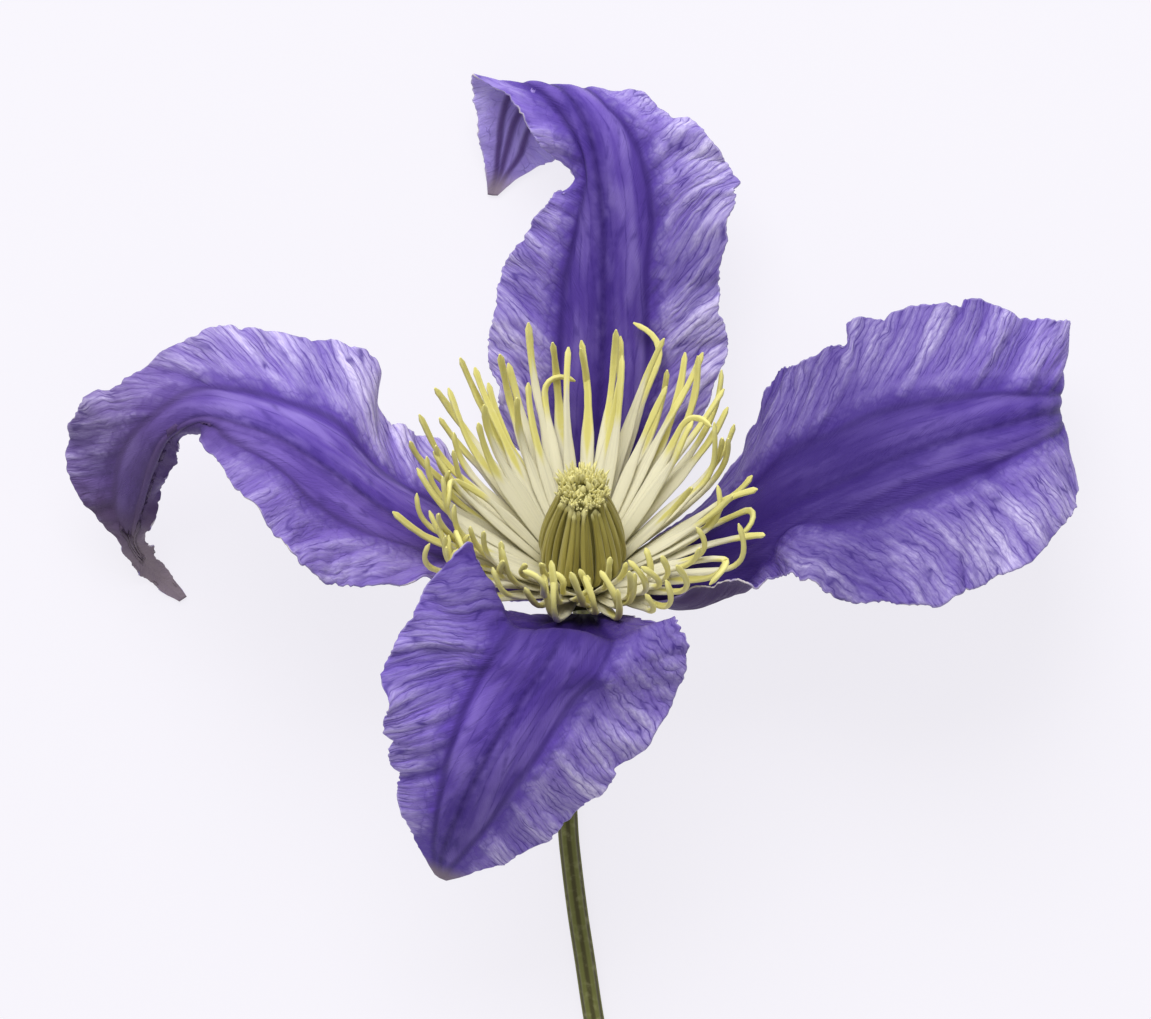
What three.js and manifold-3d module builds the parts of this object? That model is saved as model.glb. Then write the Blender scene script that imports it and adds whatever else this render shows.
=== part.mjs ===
/**
 * A clematis flower, cut with a length of its stem and laid down on a table.
 *
 * Millimetres, +Z up off the table. The axis of the flower head leans over: it rises from the
 * table by HEAD_TILT degrees and points to +Y. The stem turns down below the head and runs
 * along the table to -Y. Tepals, stamens and carpels are seated round the receptacle at the
 * top of the stem, each a little clear of it. The flower rests on the stem and on three
 * tepal tips, which the table presses flat.
 */
import * as THREE from "three";
import { mergeVertices } from "three/addons/utils/BufferGeometryUtils.js";
import Module from "manifold-3d";

const wasm = await Module();
wasm.setup();

// Driving dimensions
const HEAD_HEIGHT = 12;
const HEAD_TILT = THREE.MathUtils.degToRad(50);
const BLADE = 0.6;
const CLEARANCE = 0.3;

// Tepal surface
const RIB_SHARE = 0.38;
const ALONG_STEPS = 28;
const ACROSS_STEPS = 12;
const RIB_DEPTH = 0.22;
const RIB_WIDTH = 0.055;
const TIP_FADE = 0.86;

// Receptacle, whose outline is pairs of radius and height along the head's axis
const RECEPTACLE_RADIUS = 3.2;
const RECEPTACLE_DEPTH = 1.8;
const RECEPTACLE_OUTLINE = [
  [0, -RECEPTACLE_DEPTH],
  [1.4, -RECEPTACLE_DEPTH],
  [2.6, -1.4],
  [RECEPTACLE_RADIUS, -0.8],
  [RECEPTACLE_RADIUS, -0.4],
  [2.7, 0],
  [0, 0],
];
const ROUND_SEGMENTS = 28;

// Stem
const STEM_RADIUS = 0.78;
const STEM_RIB_HEIGHT = 0.06;
const STEM_RIBS = 6;
const STEM_STEPS = 42;
const STEM_LYING = STEM_RADIUS + STEM_RIB_HEIGHT + 0.01;
const STEM_ROUTE = [
  [0, -0.7, 11.2],
  [0, -1.8, 9.8],
  [0, -3.2, 8.2],
  [-0.4, -6.8, 4.9],
  [-0.9, -11.6, 2.0],
  [-1.3, -16.4, STEM_LYING + 0.1],
  [-1.2, -20.5, STEM_LYING],
  [-0.9, -23.6, STEM_LYING],
  [-0.4, -27.5, STEM_LYING],
  [0.2, -31.4, STEM_LYING],
  [0.8, -35.4, STEM_LYING],
  [1.7, -40.4, STEM_LYING],
  [2.7, -46.0, STEM_LYING],
  [3.8, -53.0, STEM_LYING],
];

// Stamens: angles are in degrees from the head's axis, and "facing" is added times 1 on the
// side that faces up off the table and times -1 on the side below
const COLLAR_INNER = 2.55;
const COLLAR_OUTER = 3.55;
const COLLAR_TOP = 1.2;
const ROOT_DEPTH = 0.5;
const WHORLS = [
  { count: 24, root: 3.2, opening: 5, shorter: 0 },
  { count: 20, root: 3.05, opening: -1, shorter: 0.7 },
  { count: 14, root: 2.95, opening: -8, shorter: 1.6 },
];
const LEAN = { middle: 48, facing: -6, spread: 2 };
const TIP_LEAN = { middle: 12, facing: -8, spread: 9 };
const LENGTH = { middle: 16, facing: -1.8, spread: 0.6 };
const PITCH_SPREAD = 0.16;
const BEND_START = 0.42;
const TIP_TAPER = 0.45;
const FILAMENT_HALF_WIDTH = 0.5;
const FILAMENT_HALF_DEPTH = 0.2;
const ANTHER_HALF_WIDTH = 0.38;
const ANTHER_HALF_DEPTH = 0.32;
const ANTHER_START = 0.6;
const ANTHER_BLEND = 0.06;
const STAMEN_STEPS = 7;
const STAMEN_SIDES = 4;

// Carpels: the column's outline is pairs of radius and height along the head's axis
const COLUMN_BASE = CLEARANCE;
const COLUMN_OUTLINE = [
  [2.0, COLUMN_BASE],
  [2.2, 1.1],
  [2.85, 1.75],
  [3.35, 2.6],
  [3.45, 3.6],
  [3.3, 5.1],
  [2.95, 6.8],
  [2.5, 8.6],
  [2.25, 10.0],
];
const COLUMN_LEVELS = 9;
const OUTER_STYLES = 20;
const RIDGE_SIDES = 2;
const VALLEY_SHARE = 0.16;
const CROWN_DIP = 0.4;
const CROWN = [
  { count: OUTER_STYLES / 2, inset: 0.55, turn: 0.5, high: 0.7 },
  { count: OUTER_STYLES / 2, inset: 0.6, turn: 1.5, high: 0.3 },
  { count: 6, inset: 1.4, turn: 0, high: 1.0 },
  { count: 2, inset: 2.0, turn: 0.4, high: 1.3 },
];
const CROWN_SPREAD = 0.4;
const TIP_FOOT = 0.92;
const TIP_OPENING = 0.25;
const TIP_SWELL = [0.85, 1, 1.05, 0.6];
const STYLE_HALF_WIDTH = 0.28;
const STYLE_SIDES = 4;

// Finishes
const TEPAL_COLOUR = 0x6a54a8;
const STAMEN_COLOUR = 0xded9ae;
const CARPEL_COLOUR = 0x99904a;
const STEM_COLOUR = 0x5c5f2f;

/** Repeatable draws between 0 and 1. */
function seededDraws(seed) {
  let state = seed;
  return () => {
    state = (Math.imul(state, 1664525) + 1013904223) >>> 0;
    return state / 4294967296;
  };
}

/** The closed mesh of a three.js geometry as a solid that can be joined or cut. */
function solidOf(geometry) {
  const bare = geometry.clone();
  bare.deleteAttribute("normal");
  bare.deleteAttribute("uv");
  const merged = mergeVertices(bare);
  return new wasm.Manifold(
    new wasm.Mesh({
      numProp: 3,
      vertProperties: merged.attributes.position.array,
      triVerts: new Uint32Array(merged.index.array),
    }),
  );
}

/** The three.js geometry of a solid. */
function geometryOf(solid) {
  const { vertProperties, triVerts } = solid.getMesh();
  const geometry = new THREE.BufferGeometry();
  geometry.setAttribute("position", new THREE.BufferAttribute(vertProperties, 3));
  geometry.setIndex(new THREE.BufferAttribute(triVerts, 1));
  geometry.computeVertexNormals();
  return geometry;
}

function smoothLine(points) {
  return new THREE.CatmullRomCurve3(points, false, "catmullrom", 0.5);
}

function bell(distance, width) {
  return Math.exp(-((distance / width) ** 2));
}

// Each row of a tepal crosses the blade from its first margin over the midrib to its
// second margin. A row of five points gives the two side ribs too, where the blade isn't
// evenly curved. The first row is the base on the receptacle, the last is the tip.
const TEPALS = {
  tepal_back: {
    waves: { count: 5.5, height: 0.5, phase: 0.4, twist: 1.9 },
    rows: [
      [[-1.9, 1.9, 9.4], [0.0, 2.1, 9.0], [1.9, 1.9, 9.4]],
      [[-3.4, 5.6, 8.6], [0.6, 6.0, 7.6], [4.6, 5.6, 8.6]],
      [[-6.2, 12.0, 7.7], [1.1, 11.6, 6.6], [9.2, 12.0, 8.0]],
      [[-7.5, 17.2, 6.7], [1.5, 17.2, 6.4], [11.1, 17.8, 8.0]],
      [[-6.7, 23.2, 6.4], [1.6, 22.8, 6.9], [10.5, 23.2, 8.6]],
      [[-4.0, 28.2, 6.2], [1.6, 28.0, 7.5], [12.0, 29.6, 9.0]],
      [[-1.2, 31.4, 6.9], [1.1, 32.4, 8.2], [11.8, 32.2, 9.0]],
      [[-2.7, 33.8, 7.4], [0.4, 35.6, 8.3], [10.0, 35.0, 8.5]],
      [[-4.4, 36.2, 7.4], [-1.0, 38.3, 7.7], [7.4, 36.6, 7.4]],
      [[-6.6, 39.0, 6.7], [-2.6, 39.4, 6.1], [4.6, 38.8, 5.3]],
      [[-8.7, 40.2, 5.3], [-3.8, 39.1, 4.3], [1.4, 37.6, 3.0]],
      [[-8.7, 37.8, 3.5], [-5.4, 36.8, 2.6], [-1.7, 34.8, 1.8]],
      [[-8.2, 34.8, 2.0], [-6.2, 34.2, 1.2], [-2.7, 33.4, 1.1]],
      [[-7.8, 32.6, 0.8], [-6.7, 32.3, 0.3], [-5.0, 32.2, 0.5]],
      [[-7.7, 30.7, 0.2], [-7.3, 30.6, 0.2], [-6.9, 30.6, 0.2]],
    ],
  },
  tepal_left: {
    waves: { count: 6.5, height: 0.45, phase: 2.1, twist: 0.7 },
    rows: [
      [[-3.5, -2.1, 12.5], [-3.7, -0.6, 11.3], [-3.5, 0.8, 10.1]],
      [[-6.6, -1.8, 15.4], [-7.0, 0.8, 12.8], [-6.6, 4.4, 9.3]],
      [[-12.1, -0.8, 17.4], [-12.1, 3.0, 14.6], [-11.4, 10.2, 8.6]],
      [[-18.0, -0.6, 19.6], [-16.6, 5.8, 16.0], [-15.6, 12.4, 10.2]],
      [[-22.2, 0.7, 21.0], [-20.4, 8.6, 17.0], [-17.7, 17.8, 11.2]],
      [[-25.2, 4.7, 20.6], [-23.8, 10.8, 17.3], [-22.6, 18.9, 12.0]],
      [[-28.7, 8.4, 19.2], [-27.4, 12.1, 17.1], [-27.8, 19.6, 12.5]],
      [[-30.2, 11.6, 15.7], [-30.6, 12.6, 16.2], [-32.4, 18.6, 12.8]],
      [[-32.2, 10.7, 13.2], [-33.4, 11.1, 14.4], [-36.6, 15.6, 12.2]],
      [[-32.9, 9.0, 10.8], [-34.8, 8.8, 11.8], [-40.1, 13.6, 10.4]],
      [[-33.8, 7.0, 8.2], [-35.6, 6.4, 9.0], [-41.4, 9.8, 8.3]],
      [[-34.7, 4.7, 5.8], [-36.2, 4.2, 6.2], [-40.2, 6.2, 6.6]],
      [[-35.4, 2.7, 3.6], [-36.3, 2.4, 3.7], [-37.0, 2.4, 4.0]],
      [[-34.6, 1.5, 1.8], [-35.4, 1.0, 1.6], [-36.0, 0.4, 1.4]],
      [[-33.4, 0.3, 0.5], [-34.1, -0.4, 0.3], [-34.7, -0.9, 0.3]],
      [[-32.0, -1.8, 0.2], [-32.3, -2.0, 0.2], [-32.6, -2.2, 0.2]],
    ],
  },
  tepal_right: {
    waves: { count: 6, height: 0.5, phase: 1.2, twist: 2.6 },
    rows: [
      [[3.5, 0.8, 10.1], [3.7, -0.6, 11.3], [3.5, -2.1, 12.5]],
      [[7.0, 4.0, 9.4], [7.1, 2.4, 11.0], [7.2, 0.8, 12.4], [7.8, -2.6, 15.0], [8.0, -1.9, 17.3]],
      [[12.7, 9.0, 8.6], [12.1, 5.7, 11.8], [11.8, 3.0, 14.1], [12.0, -1.2, 16.6], [12.2, -0.7, 18.8]],
      [[15.1, 15.8, 9.6], [16.6, 5.8, 15.7], [16.2, 0.2, 19.8]],
      [[17.9, 17.4, 10.2], [21.0, 7.8, 16.5], [19.1, -1.2, 21.0]],
      [[21.5, 20.2, 10.2], [25.4, 9.6, 16.8], [23.4, -2.1, 21.4]],
      [[26.6, 21.4, 10.2], [29.4, 11.0, 16.5], [28.2, -2.0, 21.0]],
      [[31.1, 21.9, 9.9], [33.4, 12.1, 15.4], [32.7, -0.2, 19.5]],
      [[35.4, 20.7, 9.3], [36.4, 12.8, 13.3], [36.7, 2.2, 17.0]],
      [[38.6, 20.0, 7.7], [38.2, 13.2, 10.2], [39.6, 6.0, 13.1]],
      [[37.4, 18.4, 5.4], [38.0, 13.4, 7.0], [39.1, 8.4, 9.3]],
      [[35.8, 16.2, 3.0], [36.2, 13.6, 3.8], [37.4, 11.0, 5.0]],
      [[34.0, 15.0, 0.6], [34.0, 13.8, 0.6], [34.8, 12.6, 1.1]],
      [[31.8, 14.4, 0.2], [32.0, 14.1, 0.2], [32.2, 13.8, 0.2]],
    ],
  },
  tepal_front: {
    waves: { count: 5, height: 0.4, phase: 0.9, twist: 1.4 },
    rows: [
      [[1.9, -3.1, 13.4], [0.0, -3.4, 13.5], [-1.9, -3.1, 13.4]],
      [[3.0, -3.2, 17.0], [-0.2, -3.8, 16.6], [-3.8, -3.1, 17.1]],
      [[4.2, -3.8, 20.5], [-0.5, -4.3, 20.2], [-6.6, -3.0, 21.0]],
      [[5.4, -4.2, 23.8], [2.0, -5.0, 23.6], [-1.0, -4.7, 23.8], [-4.8, -4.2, 24.2], [-9.2, -0.6, 25.2]],
      [[7.1, -3.6, 27.0], [2.3, -5.3, 26.8], [-1.3, -4.2, 27.3], [-5.5, -4.0, 27.6], [-9.0, 2.6, 28.2]],
      [[8.1, -5.6, 26.8], [1.6, -7.4, 28.2], [-2.7, -6.6, 29.0], [-7.3, -6.2, 28.9], [-12.2, -0.8, 28.2]],
      [[7.2, -9.2, 26.0], [-5.0, -10.0, 28.3], [-14.8, -5.6, 27.6]],
      [[4.8, -13.3, 24.6], [-6.9, -13.0, 26.9], [-16.0, -10.0, 26.0]],
      [[1.5, -16.8, 22.8], [-8.6, -16.2, 24.8], [-15.6, -13.7, 24.0]],
      [[-2.1, -20.3, 20.6], [-10.1, -19.3, 22.2], [-14.5, -17.2, 21.8]],
      [[-6.0, -22.7, 18.6], [-11.0, -21.5, 19.6], [-13.5, -20.2, 19.5]],
      [[-8.9, -23.8, 17.0], [-11.4, -23.0, 17.5], [-12.6, -22.4, 17.6]],
      [[-10.9, -24.3, 16.2], [-11.4, -24.1, 16.5], [-11.8, -23.8, 16.6]],
    ],
  },
};

/** A row with its two side ribs, which lie between the midrib and the margins. */
function withSideRibs(row) {
  const points = row.map((point) => new THREE.Vector3(...point));
  if (points.length === 5) return points;
  const [first, middle, second] = points;
  return [
    first,
    middle.clone().lerp(first, RIB_SHARE),
    middle,
    middle.clone().lerp(second, RIB_SHARE),
    second,
  ];
}

/** How far the blade stands off its smooth middle: down in its ribs, in waves at its margins. */
function relief(along, across, waves) {
  const fade = Math.sin(Math.PI * Math.min(1, along / TIP_FADE)) ** 0.5;
  const ribs = [0.25, 0.5, 0.75].reduce((sum, rib) => sum + bell(across - rib, RIB_WIDTH), 0);
  const edge = Math.abs(2 * across - 1) ** 3;
  const phase = across < 0.5 ? waves.phase : waves.phase + waves.twist;
  const wave = Math.sin(2 * Math.PI * waves.count * along + phase);
  return along > TIP_FADE ? 0 : fade * (waves.height * edge * wave - RIB_DEPTH * ribs);
}

/** A tepal as a closed blade of even thickness, with both faces split alike. */
function tepalGeometry({ rows, waves }) {
  const ribbed = rows.map(withSideRibs);
  const lines = ribbed[0].map((_, k) => smoothLine(ribbed.map((row) => row[k])));
  const middle = (along, across) =>
    smoothLine(lines.map((line) => line.getPoint(along))).getPoint(across);
  const columns = ACROSS_STEPS + 1;
  const faceSize = (ALONG_STEPS + 1) * columns;
  const inner = [];
  const outer = [];
  for (let i = 0; i <= ALONG_STEPS; i++) {
    for (let j = 0; j <= ACROSS_STEPS; j++) {
      const along = i / ALONG_STEPS;
      const across = j / ACROSS_STEPS;
      const step = 0.01;
      const lengthwise = middle(Math.min(1, along + step), across);
      lengthwise.sub(middle(Math.max(0, along - step), across));
      const crosswise = middle(along, Math.min(1, across + step));
      crosswise.sub(middle(along, Math.max(0, across - step)));
      const normal = crosswise.cross(lengthwise).normalize();
      const centre = middle(along, across).addScaledVector(normal, relief(along, across, waves));
      inner.push(centre.clone().addScaledVector(normal, BLADE / 2));
      outer.push(centre.clone().addScaledVector(normal, -BLADE / 2));
    }
  }
  const triangles = [];
  const quad = (a, b, c, d) => triangles.push(a, b, c, a, c, d);
  for (let i = 0; i < ALONG_STEPS; i++) {
    for (let j = 0; j < ACROSS_STEPS; j++) {
      const a = i * columns + j;
      const b = a + 1;
      const c = b + columns;
      const d = a + columns;
      quad(a, b, c, d);
      triangles.push(faceSize + a, faceSize + c, faceSize + b);
      triangles.push(faceSize + a, faceSize + d, faceSize + c);
    }
    const left = i * columns;
    const right = left + ACROSS_STEPS;
    quad(left, left + columns, faceSize + left + columns, faceSize + left);
    quad(right + columns, right, faceSize + right, faceSize + right + columns);
  }
  for (let j = 0; j < ACROSS_STEPS; j++) {
    const last = ALONG_STEPS * columns + j;
    quad(j + 1, j, faceSize + j, faceSize + j + 1);
    quad(last, last + 1, faceSize + last + 1, faceSize + last);
  }
  const geometry = new THREE.BufferGeometry().setFromPoints([...inner, ...outer]);
  geometry.setIndex(triangles);
  return geometry;
}

/** The blade with what would sink into the table pressed flat. */
function restingBlade(geometry) {
  const depth = 10;
  const below = new THREE.BoxGeometry(400, 400, depth).translate(0, 0, -depth / 2);
  return geometryOf(solidOf(geometry).subtract(solidOf(below)));
}

/** A closed bar along a row of centres, wide across the given direction. */
function bar(centres, across, halfWidths, halfDepths, sides) {
  const points = [];
  centres.forEach((centre, i) => {
    const ahead = centres[Math.min(i + 1, centres.length - 1)];
    const behind = centres[Math.max(i - 1, 0)];
    const forward = ahead.clone().sub(behind).normalize();
    const wide = across.clone().addScaledVector(forward, -across.dot(forward)).normalize();
    const deep = forward.clone().cross(wide);
    for (let k = 0; k < sides; k++) {
      const turn = (2 * Math.PI * (k + 0.5)) / sides;
      const point = centre.clone().addScaledVector(wide, halfWidths[i] * Math.cos(turn));
      points.push(point.addScaledVector(deep, halfDepths[i] * Math.sin(turn)));
    }
  });
  const triangles = [];
  for (let i = 0; i < centres.length - 1; i++) {
    for (let k = 0; k < sides; k++) {
      const a = i * sides + k;
      const b = i * sides + ((k + 1) % sides);
      triangles.push(a, b, b + sides, a, b + sides, a + sides);
    }
  }
  const top = (centres.length - 1) * sides;
  for (let k = 1; k < sides - 1; k++) {
    triangles.push(0, k + 1, k);
    triangles.push(top, top + k, top + k + 1);
  }
  const geometry = new THREE.BufferGeometry().setFromPoints(points);
  geometry.setIndex(triangles);
  return geometry;
}

/** A point of the head, whose axis is Y here: along it, out from it and round it from +Z. */
function inHead(along, out, around) {
  return new THREE.Vector3(out * Math.sin(around), along, out * Math.cos(around));
}

/** The geometry turned about the head's axis, given as pairs of radius and height. */
function turned(profile, segments) {
  const points = profile.map(([radius, along]) => new THREE.Vector2(radius, along));
  return new THREE.LatheGeometry(points, segments);
}

/** The ribbed stem, with the swollen receptacle that the flower's pieces sit round. */
function stemGeometry(headMatrix) {
  const section = new THREE.Shape();
  const sides = 2 * STEM_RIBS;
  for (let k = 0; k < sides; k++) {
    const radius = STEM_RADIUS + (k % 2 ? STEM_RIB_HEIGHT : 0);
    const turn = (2 * Math.PI * k) / sides;
    const point = [radius * Math.cos(turn), radius * Math.sin(turn)];
    if (k === 0) section.moveTo(...point);
    else section.lineTo(...point);
  }
  const route = STEM_ROUTE.map((point) => new THREE.Vector3(...point));
  const path = new THREE.CatmullRomCurve3(route);
  const stem = new THREE.ExtrudeGeometry(section, { steps: STEM_STEPS, extrudePath: path });
  const receptacle = turned(RECEPTACLE_OUTLINE, ROUND_SEGMENTS);
  receptacle.applyMatrix4(headMatrix);
  return geometryOf(solidOf(stem).add(solidOf(receptacle)));
}

/** One stamen: a flat filament that leans out, then an anther that bends back in. */
function stamen({ around, root, lean, tipLean, length }) {
  const centres = [];
  const halfWidths = [];
  const halfDepths = [];
  let along = COLLAR_TOP - ROOT_DEPTH;
  let out = root;
  const fine = 6;
  for (let i = 0; i <= STAMEN_STEPS * fine; i++) {
    const share = i / (STAMEN_STEPS * fine);
    if (i % fine === 0) {
      const [from, to] = [ANTHER_START - ANTHER_BLEND, ANTHER_START + ANTHER_BLEND];
      const anther = THREE.MathUtils.smoothstep(share, from, to);
      const taper = share === 1 ? TIP_TAPER : 1;
      const blend = THREE.MathUtils.lerp;
      centres.push(inHead(along, out, around));
      halfWidths.push(taper * blend(FILAMENT_HALF_WIDTH, ANTHER_HALF_WIDTH, anther));
      halfDepths.push(taper * blend(FILAMENT_HALF_DEPTH, ANTHER_HALF_DEPTH, anther));
    }
    const bend = THREE.MathUtils.smoothstep(share, BEND_START, 1);
    const angle = lean + (tipLean - lean) * bend;
    along += (Math.cos(angle) * length) / (STAMEN_STEPS * fine);
    out += (Math.sin(angle) * length) / (STAMEN_STEPS * fine);
  }
  const across = inHead(0, 1, around + Math.PI / 2);
  return bar(centres, across, halfWidths, halfDepths, STAMEN_SIDES);
}

/** The bowl of stamens in three whorls, fused on the collar that they grow from. */
function stamensGeometry() {
  const draw = seededDraws(7);
  const spread = (reach) => reach * (2 * draw() - 1);
  const radians = THREE.MathUtils.degToRad;
  const drawn = (size, facing) => size.middle + size.facing * facing + spread(size.spread);
  const collar = turned(
    [
      [COLLAR_INNER, CLEARANCE],
      [COLLAR_OUTER, CLEARANCE],
      [COLLAR_OUTER, COLLAR_TOP],
      [COLLAR_INNER, COLLAR_TOP],
      [COLLAR_INNER, CLEARANCE],
    ],
    ROUND_SEGMENTS,
  );
  const pieces = [solidOf(collar)];
  WHORLS.forEach(({ count, root, opening, shorter }, whorl) => {
    for (let k = 0; k < count; k++) {
      const around = (2 * Math.PI * (k + (whorl % 2) / 2 + spread(PITCH_SPREAD))) / count;
      const facing = Math.cos(around);
      const piece = stamen({
        around,
        root,
        lean: radians(drawn(LEAN, facing) + opening),
        tipLean: radians(drawn(TIP_LEAN, facing)),
        length: drawn(LENGTH, facing) - shorter,
      });
      pieces.push(solidOf(piece));
    }
  });
  return geometryOf(wasm.Manifold.union(pieces));
}

/** Outer radius of the carpels' column at a height along the head's axis. */
const COLUMN = smoothLine(
  COLUMN_OUTLINE.map(([radius, along]) => new THREE.Vector3(radius, along, 0)),
);

/** The tip of one style, from inside the column to its stigma. */
function styleTip({ around, inset, rise, spreadOut }) {
  const centres = [];
  const halfWidths = [];
  const halfDepths = [];
  const steps = TIP_SWELL.length - 1;
  for (let i = 0; i <= steps; i++) {
    const share = i / steps;
    const point = COLUMN.getPoint(TIP_FOOT + (1 - TIP_FOOT) * share);
    const swell = TIP_SWELL[i];
    centres.push(inHead(point.y + rise * share, point.x - inset + spreadOut * share ** 2, around));
    halfWidths.push(STYLE_HALF_WIDTH * swell);
    halfDepths.push(STYLE_HALF_WIDTH * swell);
  }
  const across = inHead(0, 1, around + Math.PI / 2);
  return bar(centres, across, halfWidths, halfDepths, STYLE_SIDES);
}

/** The column's body, with a rounded ridge for each style that stands in its outer ring. */
function ridgedColumn() {
  const profile = COLUMN.getPoints(COLUMN_LEVELS).map(({ x, y }) => [x, y]);
  const closed = [[0, COLUMN_BASE], ...profile, [0, profile.at(-1)[1] - CROWN_DIP]];
  const body = turned(closed, OUTER_STYLES * RIDGE_SIDES);
  const positions = body.attributes.position;
  for (let i = 0; i < positions.count; i++) {
    const around = Math.atan2(positions.getX(i), positions.getZ(i));
    const valley = 0.5 + 0.5 * Math.cos(around * OUTER_STYLES);
    const share = 1 - VALLEY_SHARE * valley ** 2;
    positions.setX(i, positions.getX(i) * share);
    positions.setZ(i, positions.getZ(i) * share);
  }
  return body;
}

/** The column of carpels: a ridged body that ends in a crown of loose tips. */
function carpelsGeometry() {
  const draw = seededDraws(21);
  const pieces = [solidOf(ridgedColumn())];
  CROWN.forEach(({ count, inset, turn, high }) => {
    const pitch = count === OUTER_STYLES / 2 ? OUTER_STYLES : 2 * count;
    for (let k = 0; k < count; k++) {
      const piece = styleTip({
        around: (2 * Math.PI * (2 * k + turn)) / pitch,
        inset,
        rise: high + CROWN_SPREAD * draw(),
        spreadOut: TIP_OPENING * draw(),
      });
      pieces.push(solidOf(piece));
    }
  });
  return geometryOf(wasm.Manifold.union(pieces));
}

function named(name, geometry, colour, roughness) {
  const material = new THREE.MeshStandardMaterial({ color: colour, roughness, metalness: 0 });
  const mesh = new THREE.Mesh(geometry, material);
  mesh.name = name;
  return mesh;
}

const head = new THREE.Group();
head.position.z = HEAD_HEIGHT;
head.rotation.x = HEAD_TILT;
head.updateMatrix();
head.add(named("stamens", stamensGeometry(), STAMEN_COLOUR, 0.7));
head.add(named("carpels", carpelsGeometry(), CARPEL_COLOUR, 0.75));

const flower = new THREE.Group();
flower.add(head);
flower.add(named("stem", stemGeometry(head.matrix), STEM_COLOUR, 0.8));
for (const [name, tepal] of Object.entries(TEPALS)) {
  flower.add(named(name, restingBlade(tepalGeometry(tepal)), TEPAL_COLOUR, 0.6));
}

// The origin is on the table, below the middle of the whole flower
const middle = new THREE.Box3().setFromObject(flower, true).getCenter(new THREE.Vector3());
flower.position.set(-middle.x, -middle.y, 0);

const clematis = new THREE.Group();
clematis.add(flower);
export default clematis;
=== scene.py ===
"""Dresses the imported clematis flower: veined tepals, stamens, carpels, stem, table, light and camera.

Lengths in the dataclasses are millimetres in the flower's own frame, as the solids are drawn:
the table is at height 0 and the head's centre stands HEAD_HEIGHT above the point (0, 0).
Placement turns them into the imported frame, in metres.
"""

import logging
import math
from collections.abc import Iterator, Sequence
from dataclasses import dataclass, field
from enum import Enum

import bpy
import numpy as np
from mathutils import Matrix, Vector

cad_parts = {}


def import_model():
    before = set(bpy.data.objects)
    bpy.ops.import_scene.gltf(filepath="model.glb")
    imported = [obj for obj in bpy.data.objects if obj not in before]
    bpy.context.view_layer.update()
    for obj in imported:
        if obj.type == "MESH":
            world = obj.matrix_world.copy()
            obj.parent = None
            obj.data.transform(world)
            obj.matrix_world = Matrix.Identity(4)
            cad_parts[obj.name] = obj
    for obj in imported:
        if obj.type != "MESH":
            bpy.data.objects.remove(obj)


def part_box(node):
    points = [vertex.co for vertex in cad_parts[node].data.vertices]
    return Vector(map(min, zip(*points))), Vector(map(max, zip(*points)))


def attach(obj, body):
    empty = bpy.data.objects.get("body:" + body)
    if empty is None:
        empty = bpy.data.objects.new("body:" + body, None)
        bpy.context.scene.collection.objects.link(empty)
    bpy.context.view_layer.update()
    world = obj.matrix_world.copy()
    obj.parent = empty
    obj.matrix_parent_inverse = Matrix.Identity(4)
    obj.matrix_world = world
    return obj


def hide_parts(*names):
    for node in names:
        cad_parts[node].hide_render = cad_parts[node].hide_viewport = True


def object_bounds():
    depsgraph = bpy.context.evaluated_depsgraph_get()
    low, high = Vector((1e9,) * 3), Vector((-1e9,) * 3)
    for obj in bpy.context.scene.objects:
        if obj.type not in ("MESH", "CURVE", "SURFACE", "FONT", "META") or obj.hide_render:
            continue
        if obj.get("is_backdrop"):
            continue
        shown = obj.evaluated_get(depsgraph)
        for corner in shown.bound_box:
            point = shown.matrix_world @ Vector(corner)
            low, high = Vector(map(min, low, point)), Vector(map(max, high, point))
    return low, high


log = logging.getLogger("clematis")

MM = 0.001
HEAD_HEIGHT = 12.0
HEAD_TILT = math.radians(50)
RECEPTACLE_RADIUS = 3.2
RECEPTACLE_WIDEST = -0.4
RIB_SHARE = 0.38
CENTRAL_BAND = (1.28, 0.86)
BARS_APART = 60.0
SHORTEST = 1e-9
BODY = "root"

Socket = bpy.types.NodeSocket
Colour = tuple[float, float, float]
Span = tuple[float, float]
Row = tuple[tuple[float, float, float], ...]
Numbers = np.ndarray | float
Inputs = dict[str | int, object]


class Part(Enum):
    """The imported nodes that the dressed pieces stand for."""

    BACK = "tepal_back"
    LEFT = "tepal_left"
    RIGHT = "tepal_right"
    FRONT = "tepal_front"
    STAMENS = "stamens"
    CARPELS = "carpels"
    STEM = "stem"


def colour(text: str) -> Colour:
    """The linear colour of a hexadecimal sRGB one.

    Args:
        text: six hexadecimal digits.

    Returns:
        Red, green and blue from 0 to 1.
    """
    shares = [int(text[i : i + 2], 16) / 255 for i in (0, 2, 4)]
    red, green, blue = (((s + 0.055) / 1.055) ** 2.4 if s > 0.04045 else s / 12.92 for s in shares)
    return red, green, blue


class Placement:
    """Where the flower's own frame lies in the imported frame."""

    def __init__(self) -> None:
        """Reads the place of the receptacle, which is round, from the stem's box."""
        low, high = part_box(Part.STEM.value)
        reach = RECEPTACLE_RADIUS * math.sin(HEAD_TILT) + RECEPTACLE_WIDEST * math.cos(HEAD_TILT)
        self.shift = np.array([low.x / MM + RECEPTACLE_RADIUS, high.y / MM - reach, 0.0])

    def metres(self, points: np.ndarray) -> np.ndarray:
        """Points of the flower's frame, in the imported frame."""
        return (points + self.shift) * MM


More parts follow.
